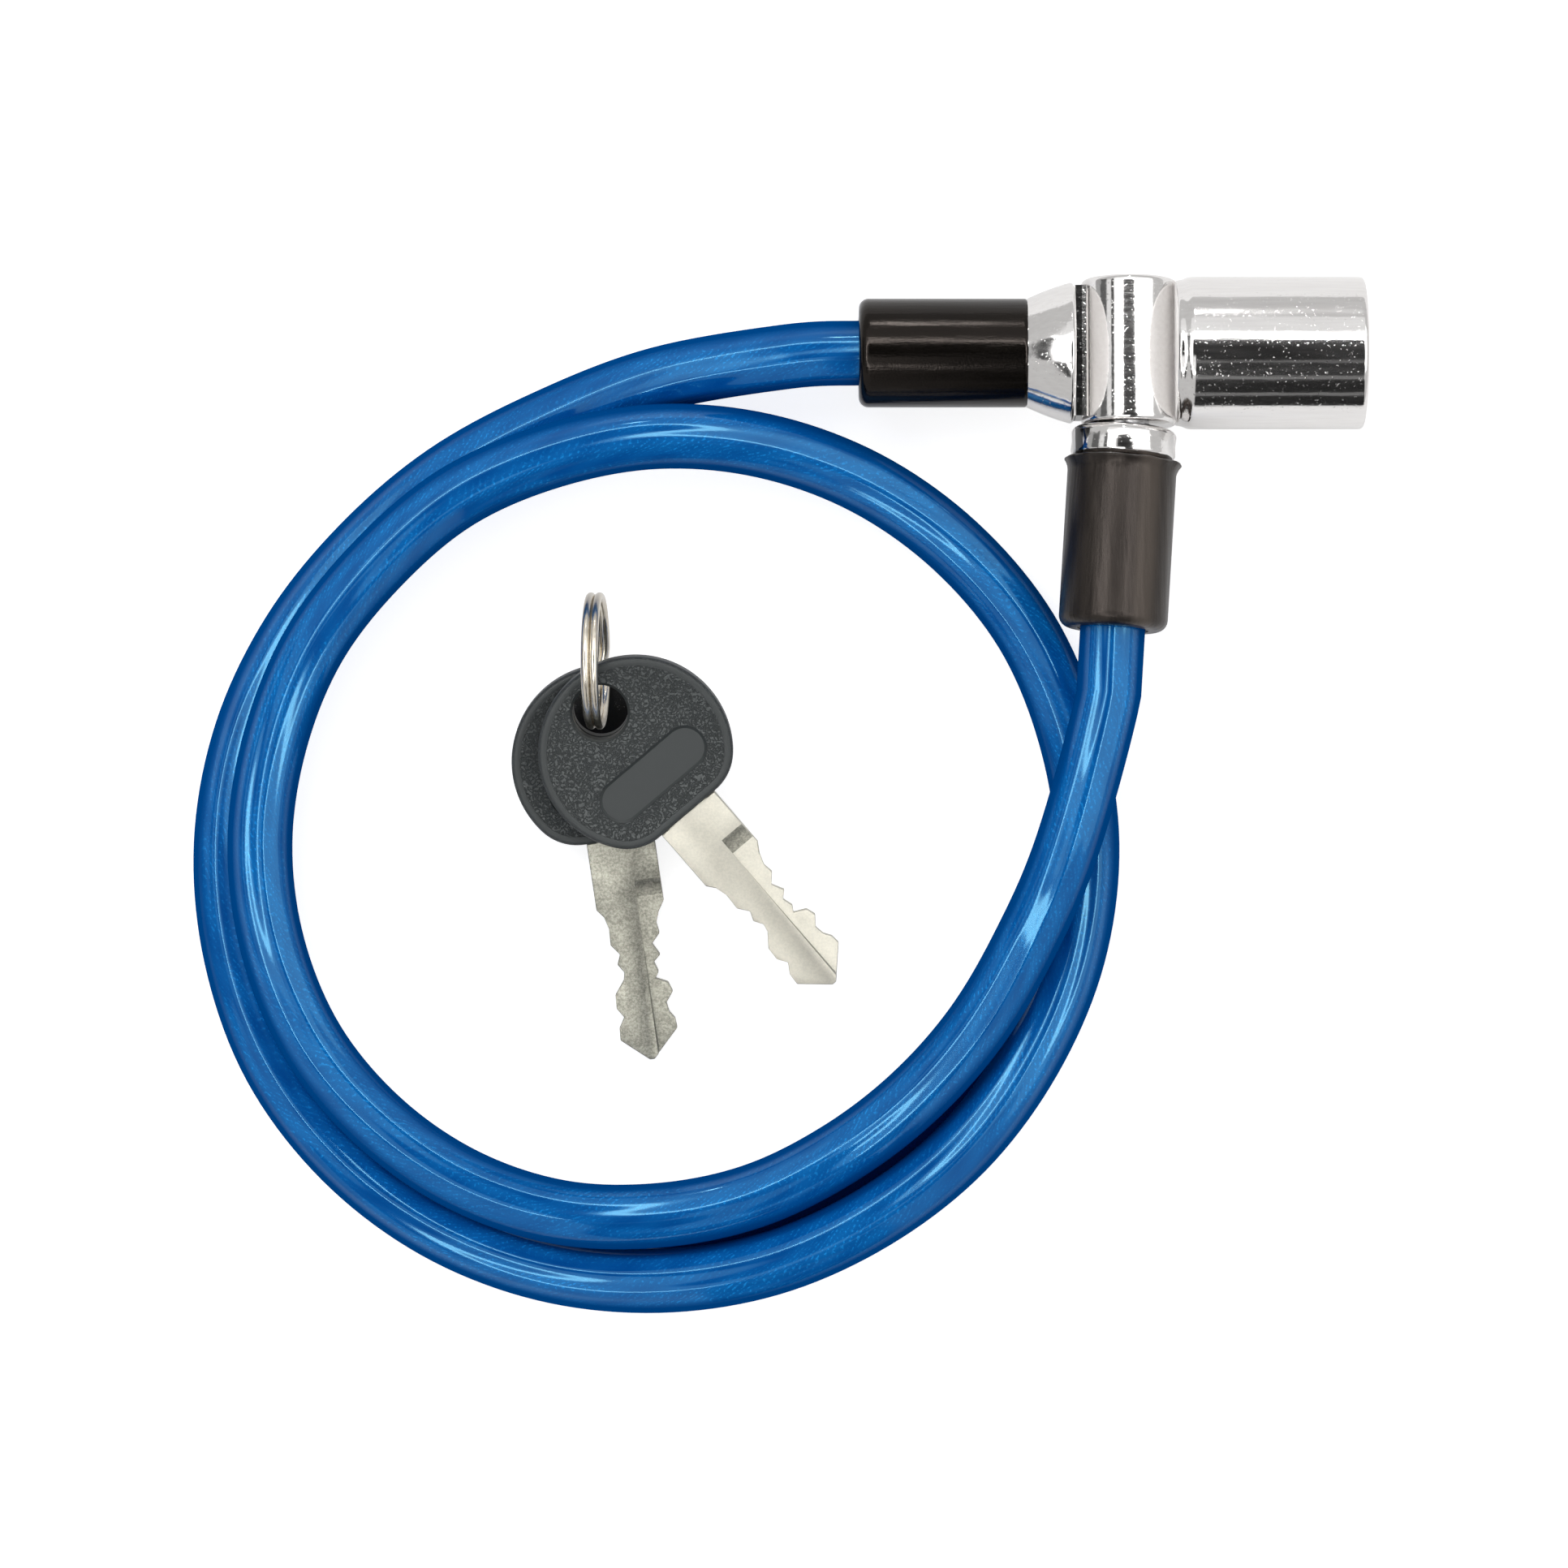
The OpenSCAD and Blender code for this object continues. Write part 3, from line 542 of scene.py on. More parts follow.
def nickel_blade(name, low, high, grain_depth, shine):
    finish = Finish(name)
    at = finish.place()
    cloud = finish.noise(at, 1.6, detail=4)
    fine = finish.noise(at, 0.3, detail=4, roughness=0.7)
    share = cloud.between(0.35, 0.7) * 0.3 + fine.between(0.35, 0.65) * 0.7
    return finish.surface(
        Base_Color=finish.blend(share, low, high),
        Metallic=0.8,
        Roughness=shine + 0.15 * fine,
        Normal=finish.relief(fine, grain_depth),
    )


CHROME = chrome_casting()
BRIGHT_STEEL = plain_steel("bright_steel", (0.5, 0.5, 0.51), (0.68, 0.68, 0.69), 0.3)
CYLINDER_NICKEL = plain_steel("cylinder_nickel", (0.64, 0.62, 0.59), (0.78, 0.76, 0.73), 0.22)
RING_NICKEL = plain_steel("ring_nickel", (0.62, 0.56, 0.46), (0.82, 0.77, 0.68), 0.2)
WAFER_BRASS = plain_steel("wafer_brass", (0.62, 0.46, 0.2), (0.78, 0.62, 0.32), 0.34)
GLOSS_BLACK = black_vinyl("gloss_black", (0.002, 0.0018, 0.0015), (0.006, 0.005, 0.004), 0.08, False)
SATIN_BLACK = black_vinyl("satin_black", (0.006, 0.005, 0.0045), (0.026, 0.022, 0.019), 0.26, True)
BLUE_VINYL = blue_vinyl()
STRAND_STEEL = strand_steel()
KEY_PLASTIC = key_plastic()
UPPER_BLADE = nickel_blade("bright_blade", (0.5, 0.485, 0.42), (0.6, 0.575, 0.495), 0.006, 0.4)
LOWER_BLADE = nickel_blade("grained_blade", (0.2, 0.198, 0.165), (0.46, 0.45, 0.38), 0.025, 0.34)
# painted shade: a darker copy of the blade colour for the sloped ramps at the start of the wards
RAMP_SHADE_BLADE = nickel_blade("milled_blade", (0.14, 0.14, 0.115), (0.34, 0.33, 0.28), 0.02, 0.4)


# ---- Camera, floor and lamps, in metres

CAMERA_AT = Vector((-0.0604, -0.0531, 0.841))
FRAME_WIDTH = 0.1932
STUDIO_MIDDLE = Vector((-0.06, -0.05, 0))
WHITE = (1.0, 1.0, 1.0)
OVERHEAD = 0.6
CARD_T = 0.005
TOP = OVERHEAD + CARD_T
HUNG = OVERHEAD - 0.01
HUNG_TOP = OVERHEAD - CARD_T
FRONT = -0.6
LEFT = -1.4


def add_camera():
    """Looks straight down and takes in a square of FRAME_WIDTH at the height of the barrel's axis."""
    camera = bpy.data.objects.new("camera", bpy.data.cameras.new("camera"))
    camera.location = CAMERA_AT
    camera.data.lens = camera.data.sensor_width * CAMERA_AT.z / FRAME_WIDTH
    camera.data.clip_end = 20
    bpy.context.scene.collection.objects.link(camera)
    bpy.context.scene.camera = camera
    bpy.context.scene.view_settings.view_transform = "Standard"


def add_floor():
    """White floor that turns dark deep in the keys' ring hole and in the gap between the two
    turns of the cable, where little of the sky reaches it. The gap is placed about the loop's
    middle, in degrees and mm."""
    gap_heading = 68
    gap_r = 49.4
    select_only()
    bpy.ops.mesh.primitive_plane_add(size=6, location=(0, 0, TABLE_Z))
    floor = bpy.context.object
    floor.name = "floor"
    finish = Finish("floor_white")
    seen = finish.node("ShaderNodeLightPath", output="Is Camera Ray")
    mirrored = finish.node("ShaderNodeLightPath", output="Is Glossy Ray")
    open_sky = finish.node("ShaderNodeAmbientOcclusion", {"samples": 8}, {"Distance": 0.02}, "AO")
    from_hole = finish.from_point(Vector((*KEY_HOLE.xy, 0))).length()
    in_hole = 1 - from_hole.between(3.6, 5.2)
    from_loop = finish.from_point(LOOP_MIDDLE).length()
    towards_gap = finish.part(finish.from_point(LOOP_MIDDLE, gap_heading), "X")
    in_gap = from_loop.near(gap_r, 1.0, 1.6) * towards_gap.between(36, 40)
    lit = 1 - (in_hole + in_gap) * (1 - open_sky.between(0.6, 0.74))
    dark = finish.blend(in_gap, (0.03, 0.03, 0.03), (0.004, 0.03, 0.2))
    shade = finish.blend(lit, dark, (0.86, 0.86, 0.86))
    paint = finish.node("ShaderNodeBsdfDiffuse", None, {"Color": shade})
    strength = seen * lit * 0.72 + mirrored * 0.32
    glow = finish.node("ShaderNodeEmission", None, {"Color": WHITE, "Strength": strength})
    both = finish.node("ShaderNodeAddShader", None, {0: paint, 1: glow})
    finish.node("ShaderNodeOutputMaterial", None, {"Surface": both})
    floor.data.materials.append(finish.material)


def add_world():
    world = bpy.data.worlds.new("studio")
    bpy.context.scene.world = world
    world.use_nodes = True
    sky = world.node_tree.nodes["Background"].inputs
    sky["Color"].default_value = (1, 0.995, 0.99, 1)
    sky["Strength"].default_value = 0.62


def add_key_lamp():
    """Soft lamp from behind and the left, which draws the shadows."""
    lamp = bpy.data.objects.new("key_lamp", bpy.data.lights.new("key_lamp", "AREA"))
    lamp.data.shape = "RECTANGLE"
    lamp.data.size = 0.6
    lamp.data.size_y = 0.45
    lamp.data.energy = 2.2
    lamp.location = (-0.35, 0.45, 0.9)
    aim = STUDIO_MIDDLE - lamp.location
    lamp.rotation_euler = aim.to_track_quat("-Z", "Y").to_euler()
    bpy.context.scene.collection.objects.link(lamp)


def light_up(card, brightness):
    """Makes a card shine, for reflections alone."""
    finish = Finish(card.name + "_paint")
    glow = finish.node("ShaderNodeEmission", None, {"Color": WHITE, "Strength": brightness})
    finish.node("ShaderNodeOutputMaterial", None, {"Surface": glow})
    card.data.materials.append(finish.material)
    card.visible_camera = False
    card.visible_diffuse = False
    card.visible_shadow = False
    card.visible_transmission = False


def add_card(name, low, high, brightness):
    """Lit or dark block round the set, from its low to its high corner."""
    select_only()
    bpy.ops.mesh.primitive_cube_add(size=1, location=(Vector(low) + Vector(high)) / 2)
    card = bpy.context.object
    card.name = name
    card.scale = Vector(high) - Vector(low)
    settle(card)
    light_up(card, brightness)


def add_ring_light():
    """Bright ring over the loop, open at the front right, where the barrel mirrors a dark studio."""
    select_only()
    middle = LOOP_MIDDLE * MM + Vector((0, 0, OVERHEAD - 0.02))
    bpy.ops.mesh.primitive_torus_add(
        location=middle, major_radius=0.315, minor_radius=0.028, major_segments=96, minor_segments=8
    )
    ring = bpy.context.object
    ring.name = "ring_light"
    settle(ring)
    bpy.ops.object.mode_set(mode="EDIT")
    bpy.ops.mesh.select_all(action="DESELECT")
    bpy.ops.object.mode_set(mode="OBJECT")
    for face in ring.data.polygons:
        face.select = -0.04 < face.center.x < 0.19 and face.center.y < -0.1
    bpy.ops.object.mode_set(mode="EDIT")
    bpy.ops.mesh.delete(type="FACE")
    bpy.ops.object.mode_set(mode="OBJECT")
    light_up(ring, 9)


add_camera()
add_floor()
add_world()
add_key_lamp()
for card_name, low, high, brightness in (
    ("dark_overhead", (-0.02, FRONT, OVERHEAD), (0.155, 0.18, TOP), 0.02),
    ("dark_over_boss", (-0.19, -0.08, OVERHEAD), (-0.02, 0.18, TOP), 0.02),
    ("dark_front", (-0.5, FRONT, OVERHEAD), (-0.3, -0.24, TOP), 0.05),
    ("dark_wall", (-0.02, FRONT, 0.0), (0.24, FRONT + CARD_T, OVERHEAD), 0.02),
    ("thin_streak", (-0.01, -0.19, HUNG), (0.15, -0.15, HUNG_TOP), 0.14),
    ("wide_streak", (-0.01, -0.56, HUNG), (0.15, -0.47, HUNG_TOP), 0.2),
    ("wall_streak", (-0.02, FRONT + 0.01, 0.21), (0.24, FRONT + 0.01 + CARD_T, 0.27), 0.2),
    ("back_strip", (-0.5, 0.185, OVERHEAD), (0.3, 0.335, TOP), 1.6),
    ("back_soft", (-0.5, 0.34, OVERHEAD), (0.3, 0.78, TOP), 0.88),
    ("sleeve_line", (-0.045, 1.0, OVERHEAD), (0.01, 1.25, TOP), 26),
    ("left_strip", (-0.5, -0.2, OVERHEAD), (-0.235, 0.18, TOP), 1.6),
    ("left_line_dark", (-0.64, -0.2, OVERHEAD), (-0.51, 0.3, TOP), 0.06),
    ("left_line_light", (-0.94, -0.2, OVERHEAD), (-0.66, 0.3, TOP), 0.9),
    ("left_far", (LEFT, -0.5, OVERHEAD), (-1.02, 0.5, TOP), 0.13),
    ("left_wall_top", (LEFT - CARD_T, -0.5, 0.34), (LEFT, 0.5, OVERHEAD), 0.13),
    ("left_wall", (LEFT - CARD_T, -0.5, 0.0), (LEFT, 0.5, 0.33), 0.42),
    ("right_card", (0.215, -0.4, OVERHEAD), (0.95, 0.5, TOP), 1.6),
    ("key_card", (-0.2, -0.44, OVERHEAD), (-0.03, -0.1, TOP), 1.05),
):
    add_card(card_name, low, high, brightness)
add_ring_light()


# ---- Cable

# Free run of the cable round the middle of its loops, one point every LOOP_STEP degrees: the
# loop's radius there and how far the cable is lifted off the table.
LOOP_START = 75
LOOP_STEP = 15
LOOP = [
    (62.2, 5.3), (57.4, 3), (54, 1.2), (52.6, 0.3), (51.9, 0), (52.2, 0), (52.9, 0), (53.6, 0),
    (54.2, 0), (54.9, 0), (55, 0), (54.9, 0), (54.6, 0), (54.2, 0), (53.9, 0), (53.5, 0),
    (53.4, 0), (53.2, 0), (53.3, 0), (53.2, 0), (52.8, 0), (52.7, 0.3), (52.1, 1.3), (51.5, 3.2),
    (50.8, 5.4), (50.1, 7.6), (49.4, 8.7), (49.2, 8.6), (48.6, 8.4), (48.7, 8.2), (48.6, 8),
    (48.8, 7.7), (48.9, 7.2), (48.9, 6.7), (48.4, 6), (47.8, 5.3), (47, 4.5), (45.9, 3),
    (45.2, 1.2), (44.5, 0.6), (44.5, 2.2), (45.3, 4.3), (46.9, 6.6), (50.4, 9.3),
]


def plug_point(s):
    return along_plug(s).translation / MM


def loop_point(index):
    radius, lift = LOOP[index]
    angle = math.radians(LOOP_START + LOOP_STEP * index)
    side = Vector((math.cos(angle), math.sin(angle), 0)) * radius
    return LOOP_MIDDLE + side + Vector((0, 0, TABLE_Z / MM + CABLE_D / 2 + lift))


def blended(a, b, c, d, t):
    """Smooth curve through four neighbouring points, between the middle two."""
    square = 2 * a - 5 * b + 4 * c - d
    cube = 3 * b - a - 3 * c + d
    return 0.5 * (2 * b + (c - a) * t + square * t * t + cube * t**3)


def cable_route(steps):
    """Centre line of the cable's free run and its two tucked ends, in metres."""
    points = [ANCHOR_EXIT] + [loop_point(i) for i in range(len(LOOP))]
    points += [plug_point(PLUG_EXIT + CABLE_D), plug_point(PLUG_EXIT)]
    last = len(points) - 1
    run = [ANCHOR_EXIT + Vector((TUCK, 0, 0))]
    for i in range(last - 1):
        four = points[max(i - 1, 0)], points[i], points[i + 1], points[min(i + 2, last)]
        run += [blended(*four, k / steps) for k in range(steps)]
    run += [points[last - 1], points[last], plug_point(PLUG_EXIT - TUCK)]
    return [point * MM for point in run]


def cord_tube(name, route, radius, sides, ripple=0.0):
    """Tube along a route, with a UV map in metres along it and once around it. Where ripple isn't
    0, its section has six lobes that twist along it as the strands do."""
    lobes = 6
    twist = 2 * math.pi / (STRAND_LAY * MM)
    vertices, faces, corners = [], [], []
    run = [0.0]
    for before, after in zip(route, route[1:]):
        run.append(run[-1] + (after - before).length)
    for i, point in enumerate(route):
        ahead = (route[min(i + 1, len(route) - 1)] - route[max(i - 1, 0)]).normalized()
        side = Vector((0, 0, 1)).cross(ahead).normalized()
        up = ahead.cross(side)
        for k in range(sides):
            angle = 2 * math.pi * k / sides
            lobe = abs(math.sin(lobes / 2 * (angle + twist * run[i])))
            reach = radius * (1 - ripple + ripple * lobe)
            vertices.append(point + reach * (math.cos(angle) * side + math.sin(angle) * up))
    for i in range(len(route) - 1):
        for k in range(sides):
            n = (k + 1) % sides
            faces.append((i * sides + k, i * sides + n, (i + 1) * sides + n, (i + 1) * sides + k))
            corners += [(run[i], k / sides), (run[i], (k + 1) / sides)]
            corners += [(run[i + 1], (k + 1) / sides), (run[i + 1], k / sides)]
    for ring in (list(reversed(range(sides))), [(len(route) - 1) * sides + k for k in range(sides)]):
        faces.append(ring)
        corners += [(0, 0)] * sides
    mesh = bpy.data.meshes.new(name)
    mesh.from_pydata(vertices, [], faces)
    mesh.uv_layers.new(name="run")
    mesh.uv_layers["run"].data.foreach_set("uv", [value for pair in corners for value in pair])
    piece = bpy.data.objects.new(name, mesh)
    bpy.context.scene.collection.objects.link(piece)
    smooth(piece, 50)
    return piece


ROUTE = cable_route(9)
CABLE_LENGTH = sum((b - a).length for a, b in zip(ROUTE, ROUTE[1:]))
jacket = cord_tube("blue_jacket", ROUTE, CABLE_D / 2 * MM, 28)
rope = cord_tube("strand_rope", ROUTE, ROPE_D / 2 * MM, 24, ripple=0.12)
dress(jacket, BLUE_VINYL, "blue_vinyl", None, "cable_jacket")
dress(rope, STRAND_STEEL, "wire_rope", None, "wire_rope")
for piece in (jacket, rope):
    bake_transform(piece)


# ---- Lock head


def between(first, second, bulge=0.0, steps=8):
    """Points of a turned profile from first to second, bulged outwards by bulge mm."""
    shares = [k / steps for k in range(steps + 1)]
    return [
        (
            first[0] + (second[0] - first[0]) * t,
            first[1] + (second[1] - first[1]) * t + bulge * math.sin(math.pi * t),
        )
        for t in shares
    ]


def eased(first, second, steps=10):
    """Points of a turned profile on a soft S from first to second, without its two ends."""
    shares = [(1 - math.cos(math.pi * k / steps)) / 2 for k in range(1, steps)]
    rise = second[1] - first[1]
    return [
        (first[0] + (second[0] - first[0]) * k / steps, first[1] + rise * share)
        for k, share in enumerate(shares, 1)
    ]


def straight(start, end, radius):
    """Support points of a straight stretch between rounded ends, which keep its shading true."""
    return [(start + 0.2, radius), (end - 0.2, radius)]


def slab(name, low, high, place):
    """Block from its low to its high corner, in mm."""
    select_only()
    middle = (Vector(low) + Vector(high)) / 2 * MM
    bpy.ops.mesh.primitive_cube_add(size=1, location=middle)
    piece = bpy.context.object
    piece.name = name
    piece.scale = (Vector(high) - Vector(low)) * MM
    settle(piece)
    settle(piece, place)
    return piece


def make_barrel():
    neck_r = BARREL_R - NECK_STEP
    rise = SHOULDER + 0.7
    return turned(
        "lock_casting",
        corner(NECK_END + EDGE, neck_r - EDGE, EDGE, -90, 0)
        + eased((NECK_END + EDGE, neck_r), (rise, BARREL_R))
        + straight(rise, FACE - EDGE, BARREL_R)
        + corner(FACE - EDGE, BARREL_R - EDGE, EDGE, 0, 90),
        ALONG_BARREL,
        128,
    )


def make_cone():
    """Cone from the boss down to the sleeve, and the spigot that the sleeve covers."""
    return turned(
        "cable_cone",
        [(SPIGOT_END, SPIGOT_R - 0.1), (SPIGOT, SPIGOT_R)]
        + between((SPIGOT, SLEEVE_R), (CONE - EDGE, CONE_R - 0.05), bulge=0.12)
        + corner(CONE - EDGE, CONE_R - EDGE, EDGE, 20, 90),
        ALONG_BARREL,
        128,
    )


def make_boss():
    return turned(
        "plug_boss",
        corner(-BOSS_FACE + EDGE, BOSS_R - EDGE, EDGE, -90, 0)
        + straight(-BOSS_FACE + EDGE, BOSS_FACE - EDGE, BOSS_R)
        + corner(BOSS_FACE - EDGE, BOSS_R - EDGE, EDGE, 0, 90),
        ALONG_BOSS,
        128,
    )


def make_works_bore():
    """Bore for the bolt, its spring and the cylinder. Its guide starts at the barrel's middle and
    not at the plug, which leaves a core along its axis as far as the spring's seat."""
    guide_start = -0.0179
    return turned(
        "works_bore",
        [(guide_start, GUIDE_R), (SPRING_SEAT, GUIDE_R)]
        + [(SPRING_SEAT, SPRING_POCKET_R), (CHAMBER, SPRING_POCKET_R)]
        + [(CHAMBER, CHAMBER_R), (CYLINDER_BACK, CHAMBER_R)]
        + [(CYLINDER_BACK, CYLINDER_BORE_R), (CYLINDER_FRONT, CYLINDER_BORE_R)]
        + [(CYLINDER_FRONT, CYLINDER_RIM_R), (FACE + 1, CYLINDER_RIM_R)],
        ALONG_BARREL,
    )


def make_casting():
    casting = make_barrel()
    web_low = (CONE - 1, -WEB_W / 2, -WEB_T / 2)
    web = slab("cone_web", web_low, (WEB_END, WEB_W / 2, WEB_T / 2), IN_HEAD)
    for form in (make_boss(), make_cone(), web):
        cut_or_join(casting, form, "UNION")
    slot_low = (CHAMBER, -LUG_W / 2, 0)
    guide_slot = slab("guide_slot", slot_low, (CYLINDER_BACK + 0.4, LUG_W / 2, LUG_R), IN_HEAD)
    pin_bore = [(PIN_BORE_END, PIN_BORE_R), (BOSS_FACE - 0.4, PIN_BORE_R), (BOSS_FACE + 0.2, 3.5)]
    plug_bore = turned("plug_bore", pin_bore, along_plug(0), 64)
    cord_bore = [(SPIGOT_END - 1, CORD_BORE_R), (CORD_BORE_END, CORD_BORE_R)]
    cable_bore = turned("cable_bore", cord_bore, ALONG_BARREL, 64)
    for bore in (make_works_bore(), guide_slot, plug_bore, cable_bore):
        cut_or_join(casting, bore, "DIFFERENCE")
    smooth(casting)
    return casting


def make_anchor_sleeve():
    """Sleeve over the spigot and the cable, its inside widened for the spigot."""
    lip = 1.2
    fit = SPIGOT_R + 0.05
    step = SPIGOT_END - 0.1
    sleeve = turned(
        "anchored_sleeve",
        corner(SLEEVE_END + lip, SLEEVE_R - lip, lip, -90, 0)
        + straight(SLEEVE_END + lip, SPIGOT - 0.3, SLEEVE_R)
        + corner(SPIGOT - 0.25, SLEEVE_R - 0.2, 0.2, 20, 90),
        ALONG_BARREL,
        112,
    )
    mouth = turned(
        "sleeve_mouth",
        [(SLEEVE_END - 1, MOUTH_R), (SLEEVE_END + 0.1, MOUTH_R), (SLEEVE_END + 0.5, CORD_BORE_R)]
        + [(step, CORD_BORE_R), (step, fit), (SPIGOT + 1, fit)],
        ALONG_BARREL,
        64,
    )
    cut_or_join(sleeve, mouth, "DIFFERENCE")
    smooth(sleeve)
    return sleeve


casting = make_casting()
dress(casting, CHROME, "chrome_casting", "lock_head", "lock_housing")
anchor_sleeve = make_anchor_sleeve()
dress(anchor_sleeve, GLOSS_BLACK, "gloss_black_sleeve", "lock_head", "anchor_sleeve")


# ---- Plug


def make_collar():
    """Beaded ring round the plug's pin, seated on the pin's foot."""
    bead = 1.15
    foot = 11.7
    foot_r = 4.25
    collar = turned(
        "plug_ring",
        [(COLLAR_TOP, 3.2)]
        + corner(COLLAR_TOP + bead, COLLAR_R - bead, bead, -90, -15)
        + [(COLLAR_TOP + 2, COLLAR_R - 0.14)]
        + corner(COLLAR_BOTTOM - bead, COLLAR_R - bead, bead, 15, 90)
        + [(COLLAR_BOTTOM, 4.4)],
        along_plug(0),
    )
    profile = [(8, PIN_BORE_R), (foot, PIN_BORE_R), (foot, foot_r), (14, foot_r)]
    bore = turned("collar_bore", profile, along_plug(0), 64)
    cut_or_join(collar, bore, "DIFFERENCE")
    smooth(collar, 40)
    return collar


def make_plug_sleeve():
    """Sleeve with a flared rim round the collar, its inside widened for the ferrule."""
    lip = 1.4
    flare = COLLAR_BOTTOM + 1.6
    ferrule_r = 4.95
    ferrule_end = 22.4
    sleeve = turned(
        "flared_sleeve",
        [(COLLAR_BOTTOM, 5.1), (COLLAR_BOTTOM - 0.05, RIM_R - 0.35), (COLLAR_BOTTOM + 0.12, RIM_R - 0.06)]
        + between((COLLAR_BOTTOM + 0.3, RIM_R), (flare, SLEEVE_R), bulge=-0.12, steps=5)
        + between((flare + 0.4, SLEEVE_R), (PLUG_EXIT - lip - 0.2, SLEEVE_R), steps=10)
        + corner(PLUG_EXIT - lip, SLEEVE_R - lip, lip, 0, 90),
        Matrix(),
        112,
    )
    fray_rim(sleeve, flare)
    settle(sleeve, along_plug(0))
    mouth = turned(
        "sleeve_bore",
        [(12, ferrule_r), (ferrule_end, ferrule_r), (ferrule_end, CORD_BORE_R)]
        + [(PLUG_EXIT - 0.5, CORD_BORE_R), (PLUG_EXIT - 0.1, 4.4), (PLUG_EXIT + 1, 4.4)],
        along_plug(0),
        64,
    )
    cut_or_join(sleeve, mouth, "DIFFERENCE")
    smooth(sleeve, 40)
    return sleeve


def fray_rim(sleeve, rim_end):
    """Cut edge of the shrunk sleeve: its flare is uneven round the rim."""
    for vertex in sleeve.data.vertices:
        height = vertex.co.z / MM
        share = max(0.0, 1 - (height - COLLAR_BOTTOM) / (rim_end - COLLAR_BOTTOM))
        angle = math.atan2(vertex.co.y, vertex.co.x)
        ripple = 0.1 * math.sin(3 * angle + 1) + 0.07 * math.sin(7 * angle)
        ripple += 0.05 * math.sin(16 * angle + 2)
        wave = 0.1 * math.sin(2 * angle) + 0.05 * math.sin(9 * angle + 1)
        widening = 1 + share * (ripple - 0.12) / RIM_R
        vertex.co.x *= widening
        vertex.co.y *= widening
        vertex.co.z += min(share, 0.95) * max(wave, -0.02) * MM


collar = make_collar()
dress(collar, CHROME, "chrome_casting", "plug", "plug_collar")
plug_sleeve = make_plug_sleeve()
dress(plug_sleeve, SATIN_BLACK, "satin_black_sleeve", "plug", "plug_sleeve")


# ---- Keys


def on_key(angle, level):
    """Place of a key: X along its blade from the middle of its head."""
    return PIVOT @ moved(0, 0, level) @ turned_about("Z", angle) @ moved(HOLE_GAP, 0, 0)


def arc(x, y, radius, start, end, steps):
    angles = (math.radians(start + (end - start) * k / steps) for k in range(steps + 1))
    return [(x + radius * math.cos(a), y + radius * math.sin(a)) for a in angles]


def plate(name, outline, low, high):
    """Flat piece with an outline in mm, from height low to height high."""
    mesh = bpy.data.meshes.new(name)
    mesh.from_pydata([(x * MM, y * MM, low * MM) for x, y in outline], [], [list(range(len(outline)))])
    piece = bpy.data.objects.new(name, mesh)
    bpy.context.scene.collection.objects.link(piece)
    select_only(piece)
    bpy.ops.object.mode_set(mode="EDIT")
    bpy.ops.mesh.select_all(action="SELECT")
    bpy.ops.mesh.extrude_region_move(TRANSFORM_OT_translate={"value": (0, 0, (high - low) * MM)})
    bpy.ops.object.mode_set(mode="OBJECT")
    clean_normals(piece)
    return piece


def head_outline():
    """Round head with a flat side towards the blade and rounded corners beside it."""
    corner_x = FLAT - FLAT_CORNER
    reach = HEAD_R - FLAT_CORNER
    corner_y = math.sqrt(reach**2 - corner_x**2)
    meeting = math.degrees(math.atan2(corner_y, corner_x))
    return (
        arc(corner_x, corner_y, FLAT_CORNER, 0, meeting, 10)
        + arc(0, 0, HEAD_R, meeting, 360 - meeting, 90)[1:-1]
        + arc(corner_x, -corner_y, FLAT_CORNER, -meeting, 0, 10)
    )


def pad_outline(width, length):
    reach = (length - width) / 2
    middle = HOLE_GAP / 2
    return arc(middle, reach, width / 2, 0, 180, 16) + arc(middle, -reach, width / 2, 180, 360, 16)


def hole_cutter():
    """Hole for the ring, chamfered on both sides."""
    chamfer = 0.45
    past = 0.4
    reach = HEAD_T / 2
    wide = HOLE_R + chamfer + past
    low = [(-reach - past, wide), (-reach + chamfer, HOLE_R)]
    high = [(reach - chamfer, HOLE_R), (reach + past, wide)]
    return turned("ring_hole", low + high, moved(-HOLE_GAP, 0, 0), 56)


def slot_cutter():
    """Slot that the blade's shank sits in."""
    low = (FLAT - 6, -SHANK_SLOT_W / 2, -SHANK_SLOT_T / 2)
    return slab("blade_slot", low, (FLAT + 1, SHANK_SLOT_W / 2, SHANK_SLOT_T / 2), Matrix())


def make_key_head(name, place):
    head = plate(name, head_outline(), -HEAD_T / 2, HEAD_T / 2)
    break_edges(head, 0.5, 4)
    sink_faces(head)
    for cutter in (hole_cutter(), pad_cutter(1), pad_cutter(-1), slot_cutter()):
        cut_or_join(head, cutter, "DIFFERENCE")
    settle(head, place)
    smooth(head, 30)
    return head


def sink_faces(head):
    """Rounded rim round both faces, which lie a little lower."""
    for side in (1, -1):
        select_only(head)
        bpy.ops.object.mode_set(mode="EDIT")
        bpy.ops.mesh.select_all(action="DESELECT")
        bpy.ops.object.mode_set(mode="OBJECT")
        for face in head.data.polygons:
            face.select = face.normal.z * side > 0.99
        bpy.ops.object.mode_set(mode="EDIT")
        bpy.ops.mesh.inset(thickness=RIM_W * MM, depth=0)
        bpy.ops.mesh.inset(thickness=0.25 * MM, depth=-RIM_STEP * MM)
        bpy.ops.object.mode_set(mode="OBJECT")


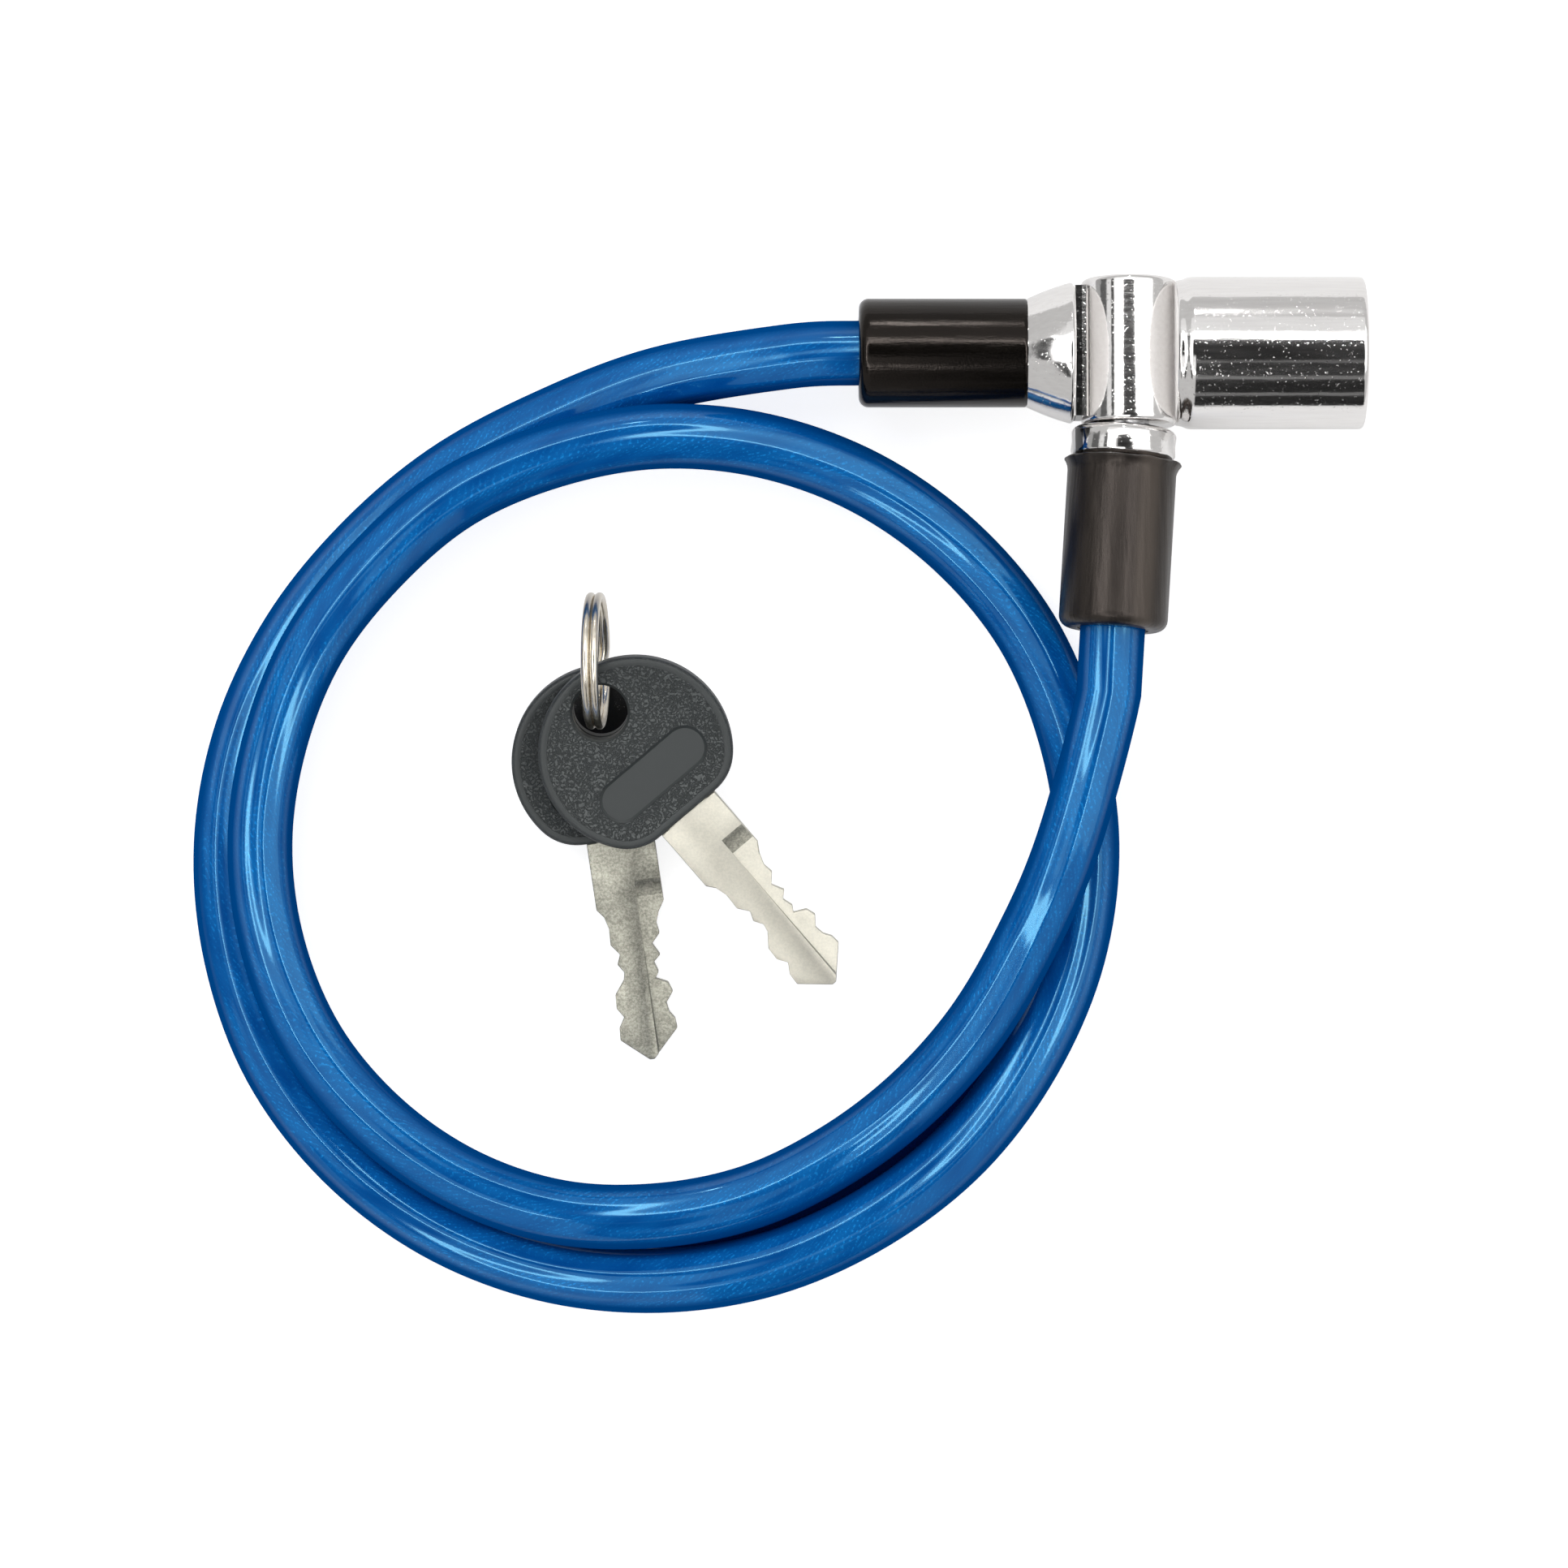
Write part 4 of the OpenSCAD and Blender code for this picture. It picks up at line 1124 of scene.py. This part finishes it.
def pad_cutter(side):
    """Sunk pad on one face of a head, with walls that lean outwards."""
    reach = 3
    floor = HEAD_T / 2 - PAD_DEPTH
    low, high = sorted((side * floor, side * reach))
    cutter = plate("pad", pad_outline(PAD_W, PAD_L), low, high)
    spread = 2 * (reach - HEAD_T / 2 + PAD_DEPTH) * 1.2
    middle = HOLE_GAP / 2 * MM
    for vertex in cutter.data.vertices:
        if abs(vertex.co.z) > (reach - 0.1) * MM:
            vertex.co.x = middle + (vertex.co.x - middle) * (PAD_W + spread) / PAD_W
            vertex.co.y *= (PAD_L + spread) / PAD_L
    return cutter


def make_split_ring():
    """Two turns of spring wire side by side, which change over after the first turn."""
    steps = 72
    start = math.radians(263)
    change_start = 0.93
    change_turns = 0.14
    points = []
    for k in range(2 * steps + 1):
        turn = k / steps
        angle = 2 * math.pi * turn + start
        change = min(1.0, max(0.0, (turn - change_start) / change_turns))
        offset = WIRE_R * (2 * (3 * change**2 - 2 * change**3) - 1)
        points.append((offset, RING_R * math.cos(angle), RING_R * math.sin(angle)))
    curve = bpy.data.curves.new("split_ring_wire", "CURVE")
    curve.dimensions = "3D"
    curve.bevel_depth = WIRE_R * MM
    curve.bevel_resolution = 4
    curve.use_fill_caps = True
    spline = curve.splines.new("POLY")
    spline.points.add(len(points) - 1)
    for point, (x, y, z) in zip(spline.points, points):
        point.co = (x * MM, y * MM, z * MM, 1)
    ring = bpy.data.objects.new("split_ring", curve)
    bpy.context.scene.collection.objects.link(ring)
    select_only(ring)
    bpy.ops.object.convert(target="MESH")
    settle(ring, moved(*RING_MIDDLE) @ turned_about("Y", -RING_LEAN))
    clean_normals(ring)
    smooth(ring, 50)
    return ring


def shade_ward_ramps(blade, angle):
    """Painted shade on the ramps where the cutter starts the wards: a darker blade colour on the faces
    18 to 26 mm from the ring hole that lean a little along the blade."""
    across = PIVOT.to_3x3() @ Vector((0, 0, 1))
    along = PIVOT.to_3x3() @ turned_about("Z", angle).to_3x3() @ Vector((1, 0, 0))
    blade.data.materials.append(RAMP_SHADE_BLADE)
    start = PIVOT.translation.dot(along)
    for face in blade.data.polygons:
        slope = abs(face.normal.dot(across))
        reach = (face.center.dot(along) - start) / MM
        if 0.5 < slope < 0.99999 and 18 < reach < 26 and abs(face.normal.dot(along)) > 0.004:
            face.material_index = 1


for name, angle, level, finish in (
    ("upper_key", -49.5, KEY_LEVEL, UPPER_BLADE),
    ("lower_key", -81.9, -KEY_LEVEL, LOWER_BLADE),
):
    head = make_key_head(name + "_grip", on_key(angle, level))
    dress(head, KEY_PLASTIC, "key_head_black", name, name + "_head")
    blade = smoothed_copy(name + "_blade", name, finish, "nickel_blade", 0.1)
    shade_ward_ramps(blade, angle)
ring = make_split_ring()
dress(ring, RING_NICKEL, "ring_nickel", "split_ring", "key_ring")


# ---- Works inside the head and the plug

for node, body, finish, slot in (
    ("key_cylinder", "cylinder", CYLINDER_NICKEL, "cylinder_steel"),
    ("cam_stud", "cylinder", BRIGHT_STEEL, "bright_steel"),
    ("locking_bolt", "bolt", BRIGHT_STEEL, "bright_steel"),
    ("cylinder_retainer", "lock_head", BRIGHT_STEEL, "bright_steel"),
    ("anchor_pin", "lock_head", BRIGHT_STEEL, "bright_steel"),
    ("anchor_ferrule", "lock_head", BRIGHT_STEEL, "bright_steel"),
    ("plug_pin", "plug", BRIGHT_STEEL, "bright_steel"),
    ("plug_ferrule", "plug", BRIGHT_STEEL, "bright_steel"),
    ("wafer_springs", "cylinder", BRIGHT_STEEL, "bright_steel"),
):
    smoothed_copy(node, body, finish, slot)
for number in range(1, 6):
    smoothed_copy(f"wafer_{number}", "cylinder", WAFER_BRASS, "wafer_brass")
bolt_spring = smoothed_copy("bolt_spring", "lock_head", BRIGHT_STEEL, "bright_steel")
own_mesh(bolt_spring)
